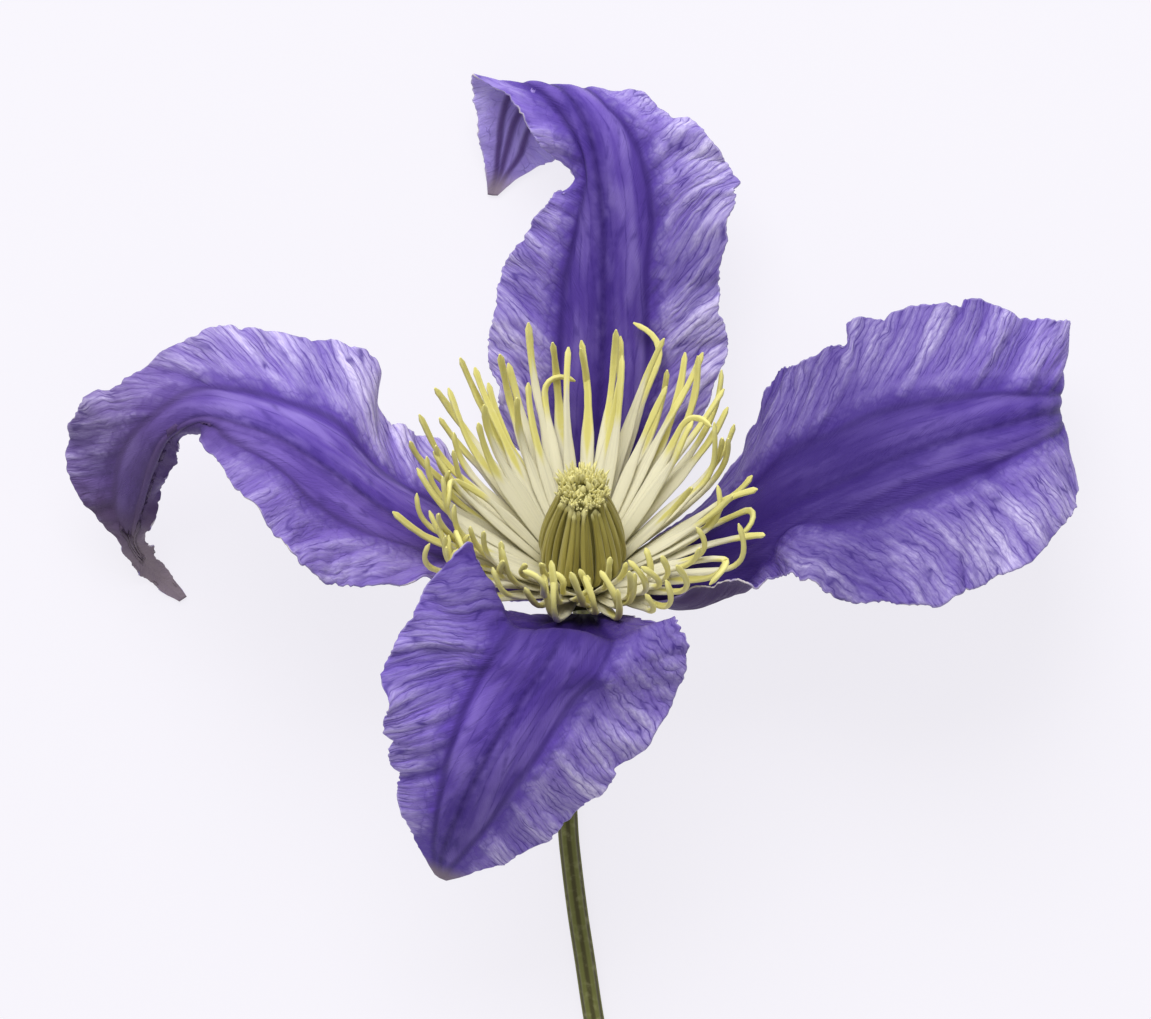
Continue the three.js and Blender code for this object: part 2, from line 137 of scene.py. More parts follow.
def in_head(along: Numbers, out: Numbers, around: Numbers) -> np.ndarray:
    """Points given by the head's axis, in the flower's frame.

    Args:
        along: height along the axis.
        out: distance from the axis.
        around: angle round the axis, from the side that faces up off the table.

    Returns:
        An array of points, or one point.
    """
    sin, cos = math.sin(HEAD_TILT), math.cos(HEAD_TILT)
    side = out * np.sin(around)
    facing = out * np.cos(around)
    height = HEAD_HEIGHT + along * sin + facing * cos
    return np.stack(np.broadcast_arrays(side, along * cos - facing * sin, height), axis=-1)


def outwards(around: Numbers) -> np.ndarray:
    """The direction away from the head's axis at an angle round it."""
    return in_head(0, 1, around) - in_head(0, 0, around)


def sideways(around: Numbers) -> np.ndarray:
    """The direction round the head's axis at an angle."""
    return outwards(around + math.pi / 2)


def smooth_line(points: np.ndarray, at: np.ndarray) -> np.ndarray:
    """Points on the smooth line that runs through others.

    Args:
        points: the points to run through, along the first axis.
        at: places from 0 to 1.

    Returns:
        The points at those places, along the first axis.
    """
    before = 2 * points[:1] - points[1:2]
    after = 2 * points[-1:] - points[-2:-1]
    padded = np.concatenate([before, points, after])
    place = np.clip(at, 0, 1) * (len(points) - 1)
    index = np.minimum(place.astype(int), len(points) - 2)
    t = (place - index).reshape((-1,) + (1,) * (points.ndim - 1))
    a, b, c, d = (padded[index + k] for k in range(4))
    leave, arrive = (c - a) / 2, (d - b) / 2
    cubic = (2 * b - 2 * c + leave + arrive) * t**3
    square = (-3 * b + 3 * c - 2 * leave - arrive) * t**2
    return cubic + square + leave * t + b


def smoothstep(low: float, high: float, value: Numbers) -> Numbers:
    """A smooth rise from 0 at low to 1 at high, which may lie below low."""
    t = np.clip((value - low) / (high - low), 0, 1)
    return t * t * (3 - 2 * t)


def unit(vectors: np.ndarray) -> np.ndarray:
    """The vectors at length 1."""
    return vectors / np.maximum(np.linalg.norm(vectors, axis=-1, keepdims=True), SHORTEST)


def lengths_along(points: np.ndarray) -> np.ndarray:
    """The distance from the first point to each, along the line through them."""
    return np.concatenate([[0], np.cumsum(np.linalg.norm(np.diff(points, axis=0), axis=1))])


class Graph:
    """A short way to write a node tree, for materials and for geometry alike."""

    def __init__(self, tree: bpy.types.NodeTree) -> None:
        """Keeps the tree that the nodes go into."""
        self.tree = tree

    def node(self, kind: str, inputs: Inputs | None = None, **settings: object) -> bpy.types.Node:
        """A new node with its settings and inputs.

        Args:
            kind: the node's type name.
            inputs: a value or a socket to link, for each input's name or number.
            settings: properties of the node itself.

        Returns:
            The node.
        """
        made = self.tree.nodes.new(kind)
        for name, value in settings.items():
            setattr(made, name, value)
        for key, value in (inputs or {}).items():
            socket = made.inputs[key]
            if isinstance(value, Socket):
                self.tree.links.new(value, socket)
            else:
                socket.default_value = value
        return made

    def math(self, operation: str, *values: object) -> Socket:
        """The result of one sum on numbers."""
        return self.node("ShaderNodeMath", dict(enumerate(values)), operation=operation).outputs[0]

    def product(self, first: object, *others: object) -> object:
        """All the values multiplied.

        Args:
            first: a number or a socket.
            others: the other ones.

        Returns:
            Their product.
        """
        for other in others:
            first = self.math("MULTIPLY", first, other)
        return first

    def total(self, first: object, *others: object) -> object:
        """All the values added.

        Args:
            first: a number or a socket.
            others: the other ones.

        Returns:
            Their sum.
        """
        for other in others:
            first = self.math("ADD", first, other)
        return first

    def vector_math(self, operation: str, *values: object) -> Socket:
        """The result of one sum on vectors.

        Args:
            operation: the node's name for the sum.
            values: its inputs. For SCALE they are the vector and the factor.

        Returns:
            A number or a vector, as the sum gives.
        """
        places = (0, 3) if operation == "SCALE" else range(len(values))
        made = self.node("ShaderNodeVectorMath", dict(zip(places, values)), operation=operation)
        scalar = operation in ("DOT_PRODUCT", "LENGTH", "DISTANCE")
        return made.outputs[1] if scalar else made.outputs[0]

    def stretched(self, vector: object, sizes: tuple[float, float, float]) -> Socket:
        """A vector whose parts are divided by sizes, with nought for a size of nought."""
        return self.vector_math("MULTIPLY", vector, tuple(1 / size if size else 0 for size in sizes))

    def band(self, value: object, low: float, high: float, first: object = 0.0, last: object = 1.0) -> Socket:
        """A smooth change from a first value to a last one as the input runs from low to high."""
        inputs = {0: value, 1: low, 2: high, 3: first, 4: last}
        return self.node("ShaderNodeMapRange", inputs, interpolation_type="SMOOTHSTEP").outputs[0]

    def fall(self, value: object, low: float, high: float) -> Socket:
        """A smooth fall from 1 to 0 as the input runs from low to high."""
        return self.band(value, low, high, 1.0, 0.0)

    def share(self, value: object, at_nought: float, at_one: float) -> Socket:
        """A straight change from one value to another as the input runs from 0 to 1."""
        return self.math("MULTIPLY_ADD", value, at_one - at_nought, at_nought)

    def split(self, vector: object) -> tuple[Socket, ...]:
        """The three numbers of a vector."""
        return tuple(self.node("ShaderNodeSeparateXYZ", {0: vector}).outputs)

    def joined(self, x: object, y: object, z: object = 0.0) -> Socket:
        """A vector from three numbers."""
        return self.node("ShaderNodeCombineXYZ", {0: x, 1: y, 2: z}).outputs[0]

    def noise(
        self, vector: object, scale: float = 1.0, detail: float = 2.0, roughness: float = 0.5
    ) -> Socket:
        """Even noise from about 0 to 1."""
        inputs = {"Vector": vector, "Scale": scale, "Detail": detail, "Roughness": roughness}
        return self.node("ShaderNodeTexNoise", inputs, noise_dimensions="3D").outputs[0]

    def net(self, vector: object) -> Socket:
        """The distance to the nearest line of an irregular net with cells of about 1.

        Args:
            vector: the place, of which two numbers count.

        Returns:
            The distance.
        """
        settings = {"voronoi_dimensions": "2D", "feature": "DISTANCE_TO_EDGE"}
        made = self.node("ShaderNodeTexVoronoi", {"Vector": vector, "Scale": 1.0}, **settings)
        return made.outputs["Distance"]

    def attribute(self, name: str) -> Socket:
        """A vector kept on the mesh, for a material."""
        return self.node("ShaderNodeAttribute", attribute_name=name).outputs["Vector"]

    def number(self, name: str) -> Socket:
        """A number kept on the mesh, for a material."""
        return self.node("ShaderNodeAttribute", attribute_name=name).outputs["Fac"]

    def object_place(self) -> Socket:
        """The place in the object's own frame, for a material."""
        return self.node("ShaderNodeTexCoord").outputs["Object"]

    def blended(self, share: object, below: object, above: object) -> Socket:
        """Two colours mixed by a share."""
        low, high = (tone if isinstance(tone, Socket) else (*tone, 1.0) for tone in (below, above))
        return self.node("ShaderNodeMix", {0: share, 6: low, 7: high}, data_type="RGBA").outputs[2]


class Finish:
    """A material made of nodes on one shader. Each kind of tissue paints its own."""

    name = "finish"
    roughness = 0.6
    specular = 0.3
    specular_tint: Colour = (1.0, 1.0, 1.0)
    sheen = 0.0
    sheen_roughness = 0.4
    glow = 0.0

    def paint(self, graph: Graph) -> tuple[object, object]:
        """The colour and the height in millimetres of the surface, as sockets."""
        raise NotImplementedError

    def material(self) -> bpy.types.Material:
        """The material, made once and then used again.

        Returns:
            The material.
        """
        known = bpy.data.materials.get(self.name)
        if known:
            return known
        made = bpy.data.materials.new(self.name)
        made.use_nodes = True
        graph = Graph(made.node_tree)
        shader = made.node_tree.nodes["Principled BSDF"]
        shader.inputs["Roughness"].default_value = self.roughness
        shader.inputs["Sheen Weight"].default_value = self.sheen
        shader.inputs["Sheen Roughness"].default_value = self.sheen_roughness
        shader.inputs["Specular IOR Level"].default_value = self.specular
        shader.inputs["Specular Tint"].default_value = (*self.specular_tint, 1.0)
        shader.inputs["Emission Strength"].default_value = self.glow
        tone, height = self.paint(graph)
        made.node_tree.links.new(tone, shader.inputs["Base Color"])
        if height is not None:
            metres = graph.product(height, MM)
            bump = graph.node("ShaderNodeBump", {"Height": metres, "Distance": 1.0, "Strength": 1.0})
            made.node_tree.links.new(bump.outputs[0], shader.inputs["Normal"])
        return made


@dataclass(frozen=True)
class VeinField:
    """The side veins and folds of a tepal. Sizes are millimetres across the veins and along them."""

    streak: Span = (0.82, 6.0)
    mesh: Span = (0.85, 1.05)
    fine: Span = (0.45, 0.75)
    fold: Span = (1.9, 9.0)
    swell: Span = (5.5, 11.0)
    pleat: Span = (1.4, 8.0)
    patch: Span = (2.2, 5.0)
    crease: Span = (0.9, 9.0)
    crease_drift: float = 1.5
    crease_waves: Span = (0.3, 0.15)
    wrinkle: Span = (0.24, 0.8)
    warp: float = 0.6
    warp_scale: float = 0.5
    mesh_reach: float = 2.6
    out_of_sight: float = 0.4
    contrast: Span = (0.34, 0.66)
    rib_gap: Span = (0.4, 2.8)
    least_bulge: float = 0.3
    ridge: float = 0.3

    def net(self, graph: Graph, place: object, size: Span) -> object:
        """The distance in millimetres to the lines of a net with cells of one size."""
        return graph.product(graph.net(graph.stretched(place, (*size, 0))), size[0])

    def lines(self, graph: Graph, place: object, rib: object) -> tuple[object, object]:
        """The distances to the lines of the coarse net and of the fine one.

        The coarse net has round meshes beside a rib and long streaks further out.

        Args:
            graph: the tree to build in.
            place: a vector with the place across the veins, across the blade and along it.
            rib: the distance to the nearest rib.

        Returns:
            The two distances, in millimetres.
        """
        drift = graph.node("ShaderNodeTexNoise", {"Vector": place, "Scale": self.warp_scale, "Detail": 2.0})
        centred = graph.vector_math("SUBTRACT", drift.outputs["Color"], (0.5, 0.5, 0.5))
        moved = graph.vector_math("ADD", place, graph.vector_math("SCALE", centred, 2 * self.warp))
        far = graph.band(rib, 0.4 * self.mesh_reach, self.mesh_reach)
        streaks = graph.total(self.net(graph, moved, self.streak), graph.share(far, self.out_of_sight, 0.0))
        _, across, along = graph.split(moved)
        meshes = self.net(graph, graph.joined(across, along), self.mesh)
        meshes = graph.total(meshes, graph.share(far, 0.0, self.out_of_sight))
        return graph.math("MINIMUM", streaks, meshes), self.net(graph, moved, self.fine)

    def bulges(self, graph: Graph, coarse: object, rib: object, outside: object, within: float) -> object:
        """How far the tissue rises between the coarse veins, from 0 to 1.

        Args:
            graph: the tree to build in.
            coarse: the distance to the coarse net.
            rib: the distance to the nearest rib.
            outside: 1 beyond the side ribs and 0 between them.
            within: the share that is left between the side ribs.

        Returns:
            The rise, as a socket.
        """
        beside = graph.band(rib, *self.rib_gap, self.least_bulge, 1)
        clear = graph.product(graph.share(outside, within, 1.0), beside)
        return graph.product(graph.band(coarse, 0.0, self.ridge), clear)

    def creases(self, graph: Graph, place: object) -> object:
        """The distance in millimetres to fine lines that run along the blade.

        Args:
            graph: the material's tree.
            place: the place on the blade, in millimetres.

        Returns:
            The distance.
        """
        slow = graph.vector_math("MULTIPLY", place, (0, *self.crease_waves))
        drift = graph.math("SUBTRACT", graph.noise(slow), 0.5)
        _, across, along = graph.split(place)
        across = graph.total(across, graph.product(drift, self.crease_drift))
        return self.net(graph, graph.joined(across, along), self.crease)

    def wrinkles(self, graph: Graph, place: object) -> object:
        """Fine noise drawn out a little along the side veins, from 0 to 1."""
        return graph.noise(graph.stretched(place, (*self.wrinkle, 0)), detail=3.0, roughness=0.6)

    def along_veins(self, graph: Graph, place: object, size: Span) -> object:
        """Noise drawn out along the side veins, from 0 to 1 with much contrast."""
        return graph.band(graph.noise(graph.stretched(place, (*size, 0)), detail=1.5), *self.contrast)

    def along_blade(self, graph: Graph, place: object, size: Span) -> object:
        """Noise drawn out along the blade, from 0 to 1 with much contrast."""
        return graph.band(graph.noise(graph.stretched(place, (0, *size))), *self.contrast)


class Spot:
    """What a tepal's finish knows at each point of the blade, as sockets.

    These are its place, its distances to the ribs, the midrib, the margin and the two nets of veins,
    in millimetres, and its shares of painted shade, of a brown tint that carries painted shade too,
    of painted sheen and of patches.
    """

    def __init__(self, graph: Graph, veins: VeinField) -> None:
        """Reads what the blade's mesh knows, and the vein field there.

        Args:
            graph: the material's tree.
            veins: the vein field of all blades.
        """
        blade, self.place, edges = (graph.attribute(name) for name in ("blade", "veins", "lines"))
        self.along, self.shade, self.browning_and_shade = graph.split(blade)
        self.rib, self.edge, self.inside = graph.split(edges)
        _, across, self.distance = graph.split(self.place)
        self.midrib = graph.math("ABSOLUTE", across)
        self.outside = graph.math("SUBTRACT", 1.0, self.inside)
        self.coarse, self.fine = veins.lines(graph, self.place, self.rib)
        self.grain = veins.wrinkles(graph, self.place)
        flat = graph.vector_math("MULTIPLY", self.place, (0, 0.8, 0.8))
        self.patchy = graph.band(graph.noise(flat, detail=3.0), 0.35, 0.65)
        self.uneven = graph.share(self.patchy, 0.35, 1.0)
        self.painted_sheen_strength = graph.number("painted_sheen")


@dataclass(frozen=True)
class TepalFinish(Finish):
    """A tepal's violet face with painted sheen, or its duller outer face. Widths and heights are millimetres.
    """

    name: str = "tepal_inner_face"
    # deep is the central band's violet and the colour of the painted shade in the hollows; light is the
    # painted silvery sheen; rib is the colour of the rib lines and of the painted shade at the foot, the tip
    # and in the rib valleys.
    deep: Colour = colour("452F8C")
    violet: Colour = colour("7256BC")
    light: Colour = colour("D3C9EE")
    groove: Colour = colour("422E84")
    rib: Colour = colour("2A185C")
    margin: Colour = colour("B9AEDC")
    brown: Colour = colour("564468")
    tip: Colour = colour("8D8086")
    # Painted sheen: silvery highlights and glints painted into the colour beyond the side ribs.
    painted_sheen: float = 1.1
    most_painted_sheen: float = 0.95
    painted_sheen_gap: Span = (0.2, 5.5)
    least_painted_sheen: float = 0.4
    border: Span = (-0.2, 1.9)
    raggedness: float = 0.5
    pleat_light: Span = (0.55, 1.05)
    patch_light: Span = (0.75, 1.05)
    soft_light: float = 0.2
    fold_light: Span = (0.35, 1.0)
    swell_light: Span = (0.5, 1.0)
    broad_light: Span = (0.02, 1.15)
    bulge_light: Span = (0.65, 1.0)
    sparkle: Span = (0.35, 0.7)
    sparkle_light: Span = (0.7, 1.25)
    least_violet: float = 0.5
    most_violet: float = 0.9
    hollow_shade: float = 0.32
    hollow_swell: float = 0.45
    vein_shade: float = 0.85
    vein_width: float = 0.08
    fine_vein_shade: float = 0.3
    fine_vein_width: float = 0.07
    vein_gap: float = 2.8
    crease_width: float = 0.1
    crease_shade: Span = (0.1, 0.6)
    rib_start: float = 4.0
    rib_reach: float = 0.5
    rib_shade: float = 0.5
    midrib_width: float = 0.42
    midrib_reach: float = 1.9
    midrib_shade: float = 0.75
    margin_width: Span = (0.03, 0.16)
    margin_share: float = 0.5
    foot_span: Span = (0.16, 0.4)
    foot_shade: float = 0.0
    tip_span: Span = (0.95, 0.995)
    tip_shade: float = 0.85
    vein_height: float = 0.035
    grain_height: float = 0.075
    veins: VeinField = field(default_factory=VeinField)
    roughness: float = 0.5
    specular: float = 0.22
    specular_tint: Colour = colour("CFC0FF")

    def base(self, graph: Graph, spot: Spot) -> tuple[object, object]:
        """The violet with its painted silvery sheen, and the share of that painted sheen.

        Args:
            graph: the material's tree.
            spot: what is known at the point.

        Returns:
            The colour and the share of painted sheen.
        """
        veins, place = self.veins, spot.place
        pleats = veins.along_blade(graph, place, veins.pleat)
        patches = veins.along_blade(graph, place, veins.patch)
        # Lighter on the raised pleats as painted light, and lighter in random patches.
        calm = graph.product(graph.share(pleats, *self.pleat_light), graph.share(patches, *self.patch_light))
        soft = graph.product(pleats, graph.share(patches, 0.3, 1.0), self.soft_light)
        ragged = graph.total(spot.rib, graph.share(spot.patchy, -self.raggedness, self.raggedness))
        beyond = graph.product(spot.outside, graph.band(ragged, *self.border))
        plain = graph.product(beyond, self.most_violet)
        plain = graph.math("MAXIMUM", plain, graph.product(spot.inside, calm))
        tone = graph.blended(graph.math("MAXIMUM", plain, self.least_violet), self.deep, self.violet)
        # Painted sheen beyond the side ribs, and a softer painted sheen on the pleats between them.
        away = graph.product(beyond, graph.band(spot.rib, *self.painted_sheen_gap, self.least_painted_sheen, 1), spot.painted_sheen_strength)
        painted_sheen = graph.product(away, self.painted_highlights(graph, spot))
        painted_sheen = graph.math("MAXIMUM", painted_sheen, graph.product(soft, spot.inside, spot.painted_sheen_strength))
        return graph.blended(graph.math("MINIMUM", painted_sheen, self.most_painted_sheen), tone, self.light), painted_sheen

    def painted_highlights(self, graph: Graph, spot: Spot) -> object:
        """The share of painted sheen beyond the side ribs: painted highlights on the folds, swells and vein
        bulges, with painted glints.

        Args:
            graph: the material's tree.
            spot: what is known at the point.

        Returns:
            The share.
        """
        # Painted highlights on the raised folds, swells and vein bulges, and painted glints on the fine
        # grain.
        folds = self.veins.along_veins(graph, spot.place, self.veins.fold)
        swells = self.veins.along_veins(graph, spot.place, self.veins.swell)
        broad = graph.product(graph.share(folds, *self.fold_light), graph.share(swells, *self.swell_light))
        bulge = graph.share(graph.band(spot.coarse, 0.03, self.veins.ridge), *self.bulge_light)
        sparkle = graph.share(graph.band(spot.grain, *self.sparkle), *self.sparkle_light)
        return graph.product(graph.share(broad, *self.broad_light), bulge, sparkle, self.painted_sheen)

    def veined(self, graph: Graph, tone: object, spot: Spot) -> object:
        """The tone with painted shade in the hollows, dark coarse veins, faint fine ones and lengthwise
        creases.

        Args:
            graph: the material's tree.
            tone: the colour so far.
            spot: what is known at the point.

        Returns:
            The new colour.
        """
        # Painted shade in the hollows between the raised swells.
        swells = self.veins.along_veins(graph, spot.place, self.veins.swell)
        hollows = graph.band(swells, 0.0, self.hollow_swell, self.hollow_shade, 0)
        tone = graph.blended(graph.product(spot.outside, hollows), tone, self.deep)
        dark = graph.product(graph.fall(spot.coarse, 0.0, self.vein_width), self.vein_shade)
        faint_shade = self.vein_shade * self.fine_vein_shade
        faint = graph.product(graph.fall(spot.fine, 0.0, self.fine_vein_width), faint_shade)
        share = graph.product(spot.outside, spot.uneven, graph.band(spot.rib, 0.0, self.vein_gap, 0.3, 1))
        tone = graph.blended(graph.product(graph.math("MAXIMUM", dark, faint), share), tone, self.groove)
        crease = graph.fall(self.veins.creases(graph, spot.place), 0.0, self.crease_width)
        share = graph.product(crease, spot.inside, graph.share(spot.patchy, *self.crease_shade))
        return graph.blended(share, tone, self.groove)

    def ribbed(self, graph: Graph, tone: object, spot: Spot, painted_sheen: object) -> object:
        """The tone with a soft band along the midrib, painted shade at its foot, near its tip and in its rib
        valleys, and a line on each rib.

        Args:
            graph: the material's tree.
            tone: the colour so far.
            spot: what is known at the point.
            painted_sheen: the share of silvery light.

        Returns:
            The new colour.
        """
        halo = graph.fall(spot.midrib, 0.1, self.midrib_reach)
        tone = graph.blended(graph.product(halo, spot.uneven, self.midrib_shade), tone, self.deep)
        # Painted shade of the foot, the tip and the rib valleys, weaker under the painted sheen.
        shade = graph.product(spot.shade, graph.share(painted_sheen, 1.0, 0.6), graph.share(spot.outside, 1.0, 0.75))
        tone = graph.blended(shade, tone, self.rib)
        line = graph.product(graph.fall(spot.rib, 0.05, self.rib_reach), self.rib_shade)
        middle = graph.fall(spot.midrib, 0.0, self.midrib_width)
        middle = graph.product(middle, spot.uneven, self.midrib_shade)
        crisp = graph.math("MAXIMUM", line, middle)
        crisp = graph.product(crisp, graph.band(spot.distance, 0.0, self.rib_start))
        return graph.blended(crisp, tone, self.rib)

    def aged(self, graph: Graph, tone: object, spot: Spot, painted_sheen: object) -> object:
        """The tone with a pale margin, a brown tint that carries painted shade at the foot and on one side,
        and a dried tip.

        Args:
            graph: the material's tree.
            tone: the colour so far.
            spot: what is known at the point.
            painted_sheen: the share of silvery light.

        Returns:
            The new colour.
        """
        pale = graph.product(graph.fall(spot.edge, *self.margin_width), spot.patchy, self.margin_share)
        tone = graph.blended(pale, tone, self.margin)
        # Painted shade at the foot of the outer face, darkened towards brown.
        foot = graph.product(graph.fall(spot.along, *self.foot_span), self.foot_shade)
        # A brown tint mixed with painted shade, weaker under the painted sheen.
        brown_and_shade = graph.math("MAXIMUM", graph.product(spot.browning_and_shade, graph.share(painted_sheen, 1.0, 0.3)), foot)
        tone = graph.blended(brown_and_shade, tone, self.brown)
        dried = graph.band(spot.along, *self.tip_span, 0, self.tip_shade)
        dried = graph.math("MAXIMUM", dried, graph.band(spot.browning_and_shade, 1.0, 2.0))
        return graph.blended(dried, tone, self.tip)

    def paint(self, graph: Graph) -> tuple[object, object]:
        """Deep ribs, pleats between them, folds with painted sheen and veins beyond them, and a pale margin.

        Args:
            graph: the material's tree.

        Returns:
            The colour and the bump's height in millimetres.
        """
        spot = Spot(graph, self.veins)
        tone, painted_sheen = self.base(graph, spot)
        tone = self.veined(graph, tone, spot)
        tone = self.ribbed(graph, tone, spot, painted_sheen)
        tone = self.aged(graph, tone, spot, painted_sheen)
        bulge = self.veins.bulges(graph, spot.coarse, spot.rib, spot.outside, 0.05)
        grain = graph.product(spot.grain, self.grain_height)
        return tone, graph.total(graph.product(bulge, self.vein_height), grain)


# The outer face: paler than the inner face, and made paler still as painted light where the folded tip lies
# in shade; its foot is darkened as painted shade.
OUTER_FACE = TepalFinish(
    name="tepal_outer_face",
    deep=colour("A08CD8"),
    violet=colour("AF9DEA"),
    light=colour("DDD4F8"),
    groove=colour("5E4C98"),
    rib=colour("523C74"),
    margin=colour("CFC8CE"),
    brown=colour("43344F"),
    painted_sheen=0.95,
    vein_shade=0.6,
    vein_gap=1.4,
    rib_reach=0.45,
    rib_shade=0.9,
    midrib_reach=1.2,
    foot_shade=0.8,
)


def streaks(graph: Graph, edge: object, share: object, draw: object, sizes: Span) -> object:
    """Noise drawn out along a swept bar, different on each bar.

    Args:
        graph: the tree to build in.
        edge: 0 on the bar's middle and 1 on its edges.
        share: the place along the bar, from 0 to 1.
        draw: the bar's own random number.
        sizes: how many streaks lie across the bar and along it.

    Returns:
        The noise, as a socket.
    """
    across, along = (graph.product(value, size) for value, size in zip((edge, share), sizes))
    return graph.noise(graph.joined(across, along, graph.product(draw, BARS_APART)))


@dataclass(frozen=True)
class StamenFinish(Finish):
    """Cream filaments that turn into yellow anthers."""

    name: str = "stamen_tissue"
    root: Colour = colour("BEB88E")
    cream: Colour = colour("DDD8BC")
    grey: Colour = colour("C4BFA8")
    yellow: Colour = colour("E0D988")
    ochre: Colour = colour("CBC26C")
    anther_start: float = 0.6
    anther_blend: float = 0.11
    delay: float = 0.08
    point: float = 0.3
    point_turn: float = 0.35
    streaks: Span = (2.6, 2.0)
    cream_from: float = 0.22
    grey_streaks: Span = (0.45, 0.7)
    grey_share: float = 0.5
    ochre_edge: Span = (0.25, 0.8)
    ochre_draw: Span = (0.2, 0.8)
    cream_specks: Span = (0.55, 0.8)
    cream_share: float = 0.25
    speckle_scale: float = 1500.0
    speckle_height: float = 0.025
    roughness: float = 0.65
    sheen: float = 0.1

    def paint(self, graph: Graph) -> tuple[object, object]:
        """Cream below, yellow above. The change runs down the middle or down both edges.

        Args:
            graph: the material's tree.

        Returns:
            The colour and the bump's height in millimetres.
        """
        share, draw, edge = (graph.number(name) for name in ("share", "tone", "edge"))
        speckle = graph.noise(graph.object_place(), self.speckle_scale)
        streak = streaks(graph, edge, share, draw, self.streaks)
        tone = graph.blended(graph.band(share, 0.0, self.cream_from), self.root, self.cream)
        tone = graph.blended(graph.band(streak, *self.grey_streaks, 0, self.grey_share), tone, self.grey)
        middle = graph.math("SUBTRACT", 1.0, edge)
        lean = graph.product(graph.math("SUBTRACT", draw, self.point_turn), self.point)
        late = graph.share(draw, -self.delay, self.delay)
        change = graph.total(share, late, graph.product(middle, lean))
        aside = graph.product(graph.fall(edge, *self.ochre_edge), graph.share(draw, *self.ochre_draw))
        anther = graph.blended(aside, self.yellow, self.ochre)
        specks = graph.band(speckle, *self.cream_specks, 0, self.cream_share)
        anther = graph.blended(specks, anther, self.cream)
        ripe = graph.band(change, self.anther_start, self.anther_start + self.anther_blend)
        return graph.blended(ripe, tone, anther), graph.product(speckle, self.speckle_height)


@dataclass(frozen=True)
class CarpelFinish(Finish):
    """Silky olive styles with pale stigmas."""

    name: str = "carpel_tissue"
    # The dark green of the foot, of the painted shade between the styles and of the darker styles.
    shade: Colour = colour("605B26")
    olive: Colour = colour("938940")
    straw: Colour = colour("B8AE60")
    stigma: Colour = colour("E0D996")
    streaks: Span = (2.0, 2.4)
    olive_span: Span = (0.02, 0.2)
    straw_streaks: Span = (0.38, 0.66)
    straw_span: Span = (0.1, 0.35)
    straw_share: float = 0.75
    edge_shade: float = 0.35
    draw_shade: float = 0.25
    stigma_span: Span = (0.9, 1.02)
    stigma_draw: float = 0.12
    streak_height: float = 0.04
    roughness: float = 0.6
    sheen: float = 0.15

    def paint(self, graph: Graph) -> tuple[object, object]:
        """Dark green at the foot, painted shade at the sides of each style where the styles meet, straw along
        their middles and pale tips.

        Args:
            graph: the material's tree.

        Returns:
            The colour and the bump's height in millimetres.
        """
        share, draw, edge = (graph.number(name) for name in ("share", "tone", "edge"))
        streak = streaks(graph, edge, share, draw, self.streaks)
        tone = graph.blended(graph.band(share, *self.olive_span), self.shade, self.olive)
        light = graph.product(graph.band(streak, *self.straw_streaks), graph.band(share, *self.straw_span))
        tone = graph.blended(graph.product(light, self.straw_share), tone, self.straw)
        # Painted shade at the sides of each style, where the styles meet.
        tone = graph.blended(graph.band(edge, 0.7, 1.0, 0, self.edge_shade), tone, self.shade)
        tone = graph.blended(graph.band(draw, 0.1, 1.0, self.draw_shade, 0), tone, self.shade)
        ripe = graph.total(share, graph.product(draw, self.stigma_draw))
        tone = graph.blended(graph.band(ripe, *self.stigma_span), tone, self.stigma)
        return tone, graph.product(streak, self.streak_height)


@dataclass(frozen=True)
class StemFinish(Finish):
    """Olive green with darker stripes in the furrows and a dull bloom."""

    name: str = "stem_skin"
    green: Colour = colour("6D7037")
    dark: Colour = colour("4B4822")
    pale: Colour = colour("9C9D6A")
    furrow: Span = (-0.8, 0.5)
    bloom: Span = (0.5, 0.75)
    bloom_share: float = 0.4
    speck_scale: float = 1400.0
    speck_height: float = 0.04
    roughness: float = 0.62
    sheen: float = 0.15

    def paint(self, graph: Graph) -> tuple[object, object]:
        """Stripes that run along the stem, with fine specks.

        Args:
            graph: the material's tree.

        Returns:
            The colour and the bump's height in millimetres.
        """
        specks = graph.noise(graph.object_place(), self.speck_scale, 3.0)
        tone = graph.blended(graph.band(graph.number("stripe"), *self.furrow), self.dark, self.green)
        tone = graph.blended(graph.band(specks, *self.bloom, 0, self.bloom_share), tone, self.pale)
        return tone, graph.product(specks, self.speck_height)


@dataclass(frozen=True)
class TableFinish(Finish):
    """The plain pale light table that the flower lies on."""

    name: str = "table_top"
    pale: Colour = colour("5E5C61")
    paler: Colour = colour("605E63")
    lamp: Colour = colour("F5F3F9")
    cloud_scale: float = 12.0
    roughness: float = 0.9
    glow: float = 0.87

    def paint(self, graph: Graph) -> tuple[object, object]:
        """One colour, hardly mottled, that is lit from below too.

        Args:
            graph: the material's tree.

        Returns:
            The colour, and no bump.
        """
        shader = graph.tree.nodes["Principled BSDF"]
        shader.inputs["Emission Color"].default_value = (*self.lamp, 1.0)
        cloud = graph.noise(graph.object_place(), self.cloud_scale)
        return graph.blended(graph.band(cloud, 0.2, 0.8), self.pale, self.paler), None


@dataclass(frozen=True)
class TepalMargin(Finish):
    """The pale downy edge of a tepal."""

    name: str = "tepal_margin"
    pale: Colour = colour("8C7DB8")
    cream: Colour = colour("C4BCC0")
    patch_scale: float = 420.0
    patches: Span = (0.48, 0.64)
    roughness: float = 0.7
    sheen: float = 0.1

    def paint(self, graph: Graph) -> tuple[object, object]:
        """Pale violet with cream patches."""
        patch = graph.noise(graph.object_place(), self.patch_scale, 3.0)
        return graph.blended(graph.band(patch, *self.patches), self.pale, self.cream), None


def placed(name: str, data: bpy.types.ID) -> bpy.types.Object:
    """A new object in the scene that holds a mesh, a camera or a lamp.

    Args:
        name: the object's name.
        data: what it holds.

    Returns:
        The object.
    """
    made = bpy.data.objects.new(name, data)
    bpy.context.scene.collection.objects.link(made)
    return made


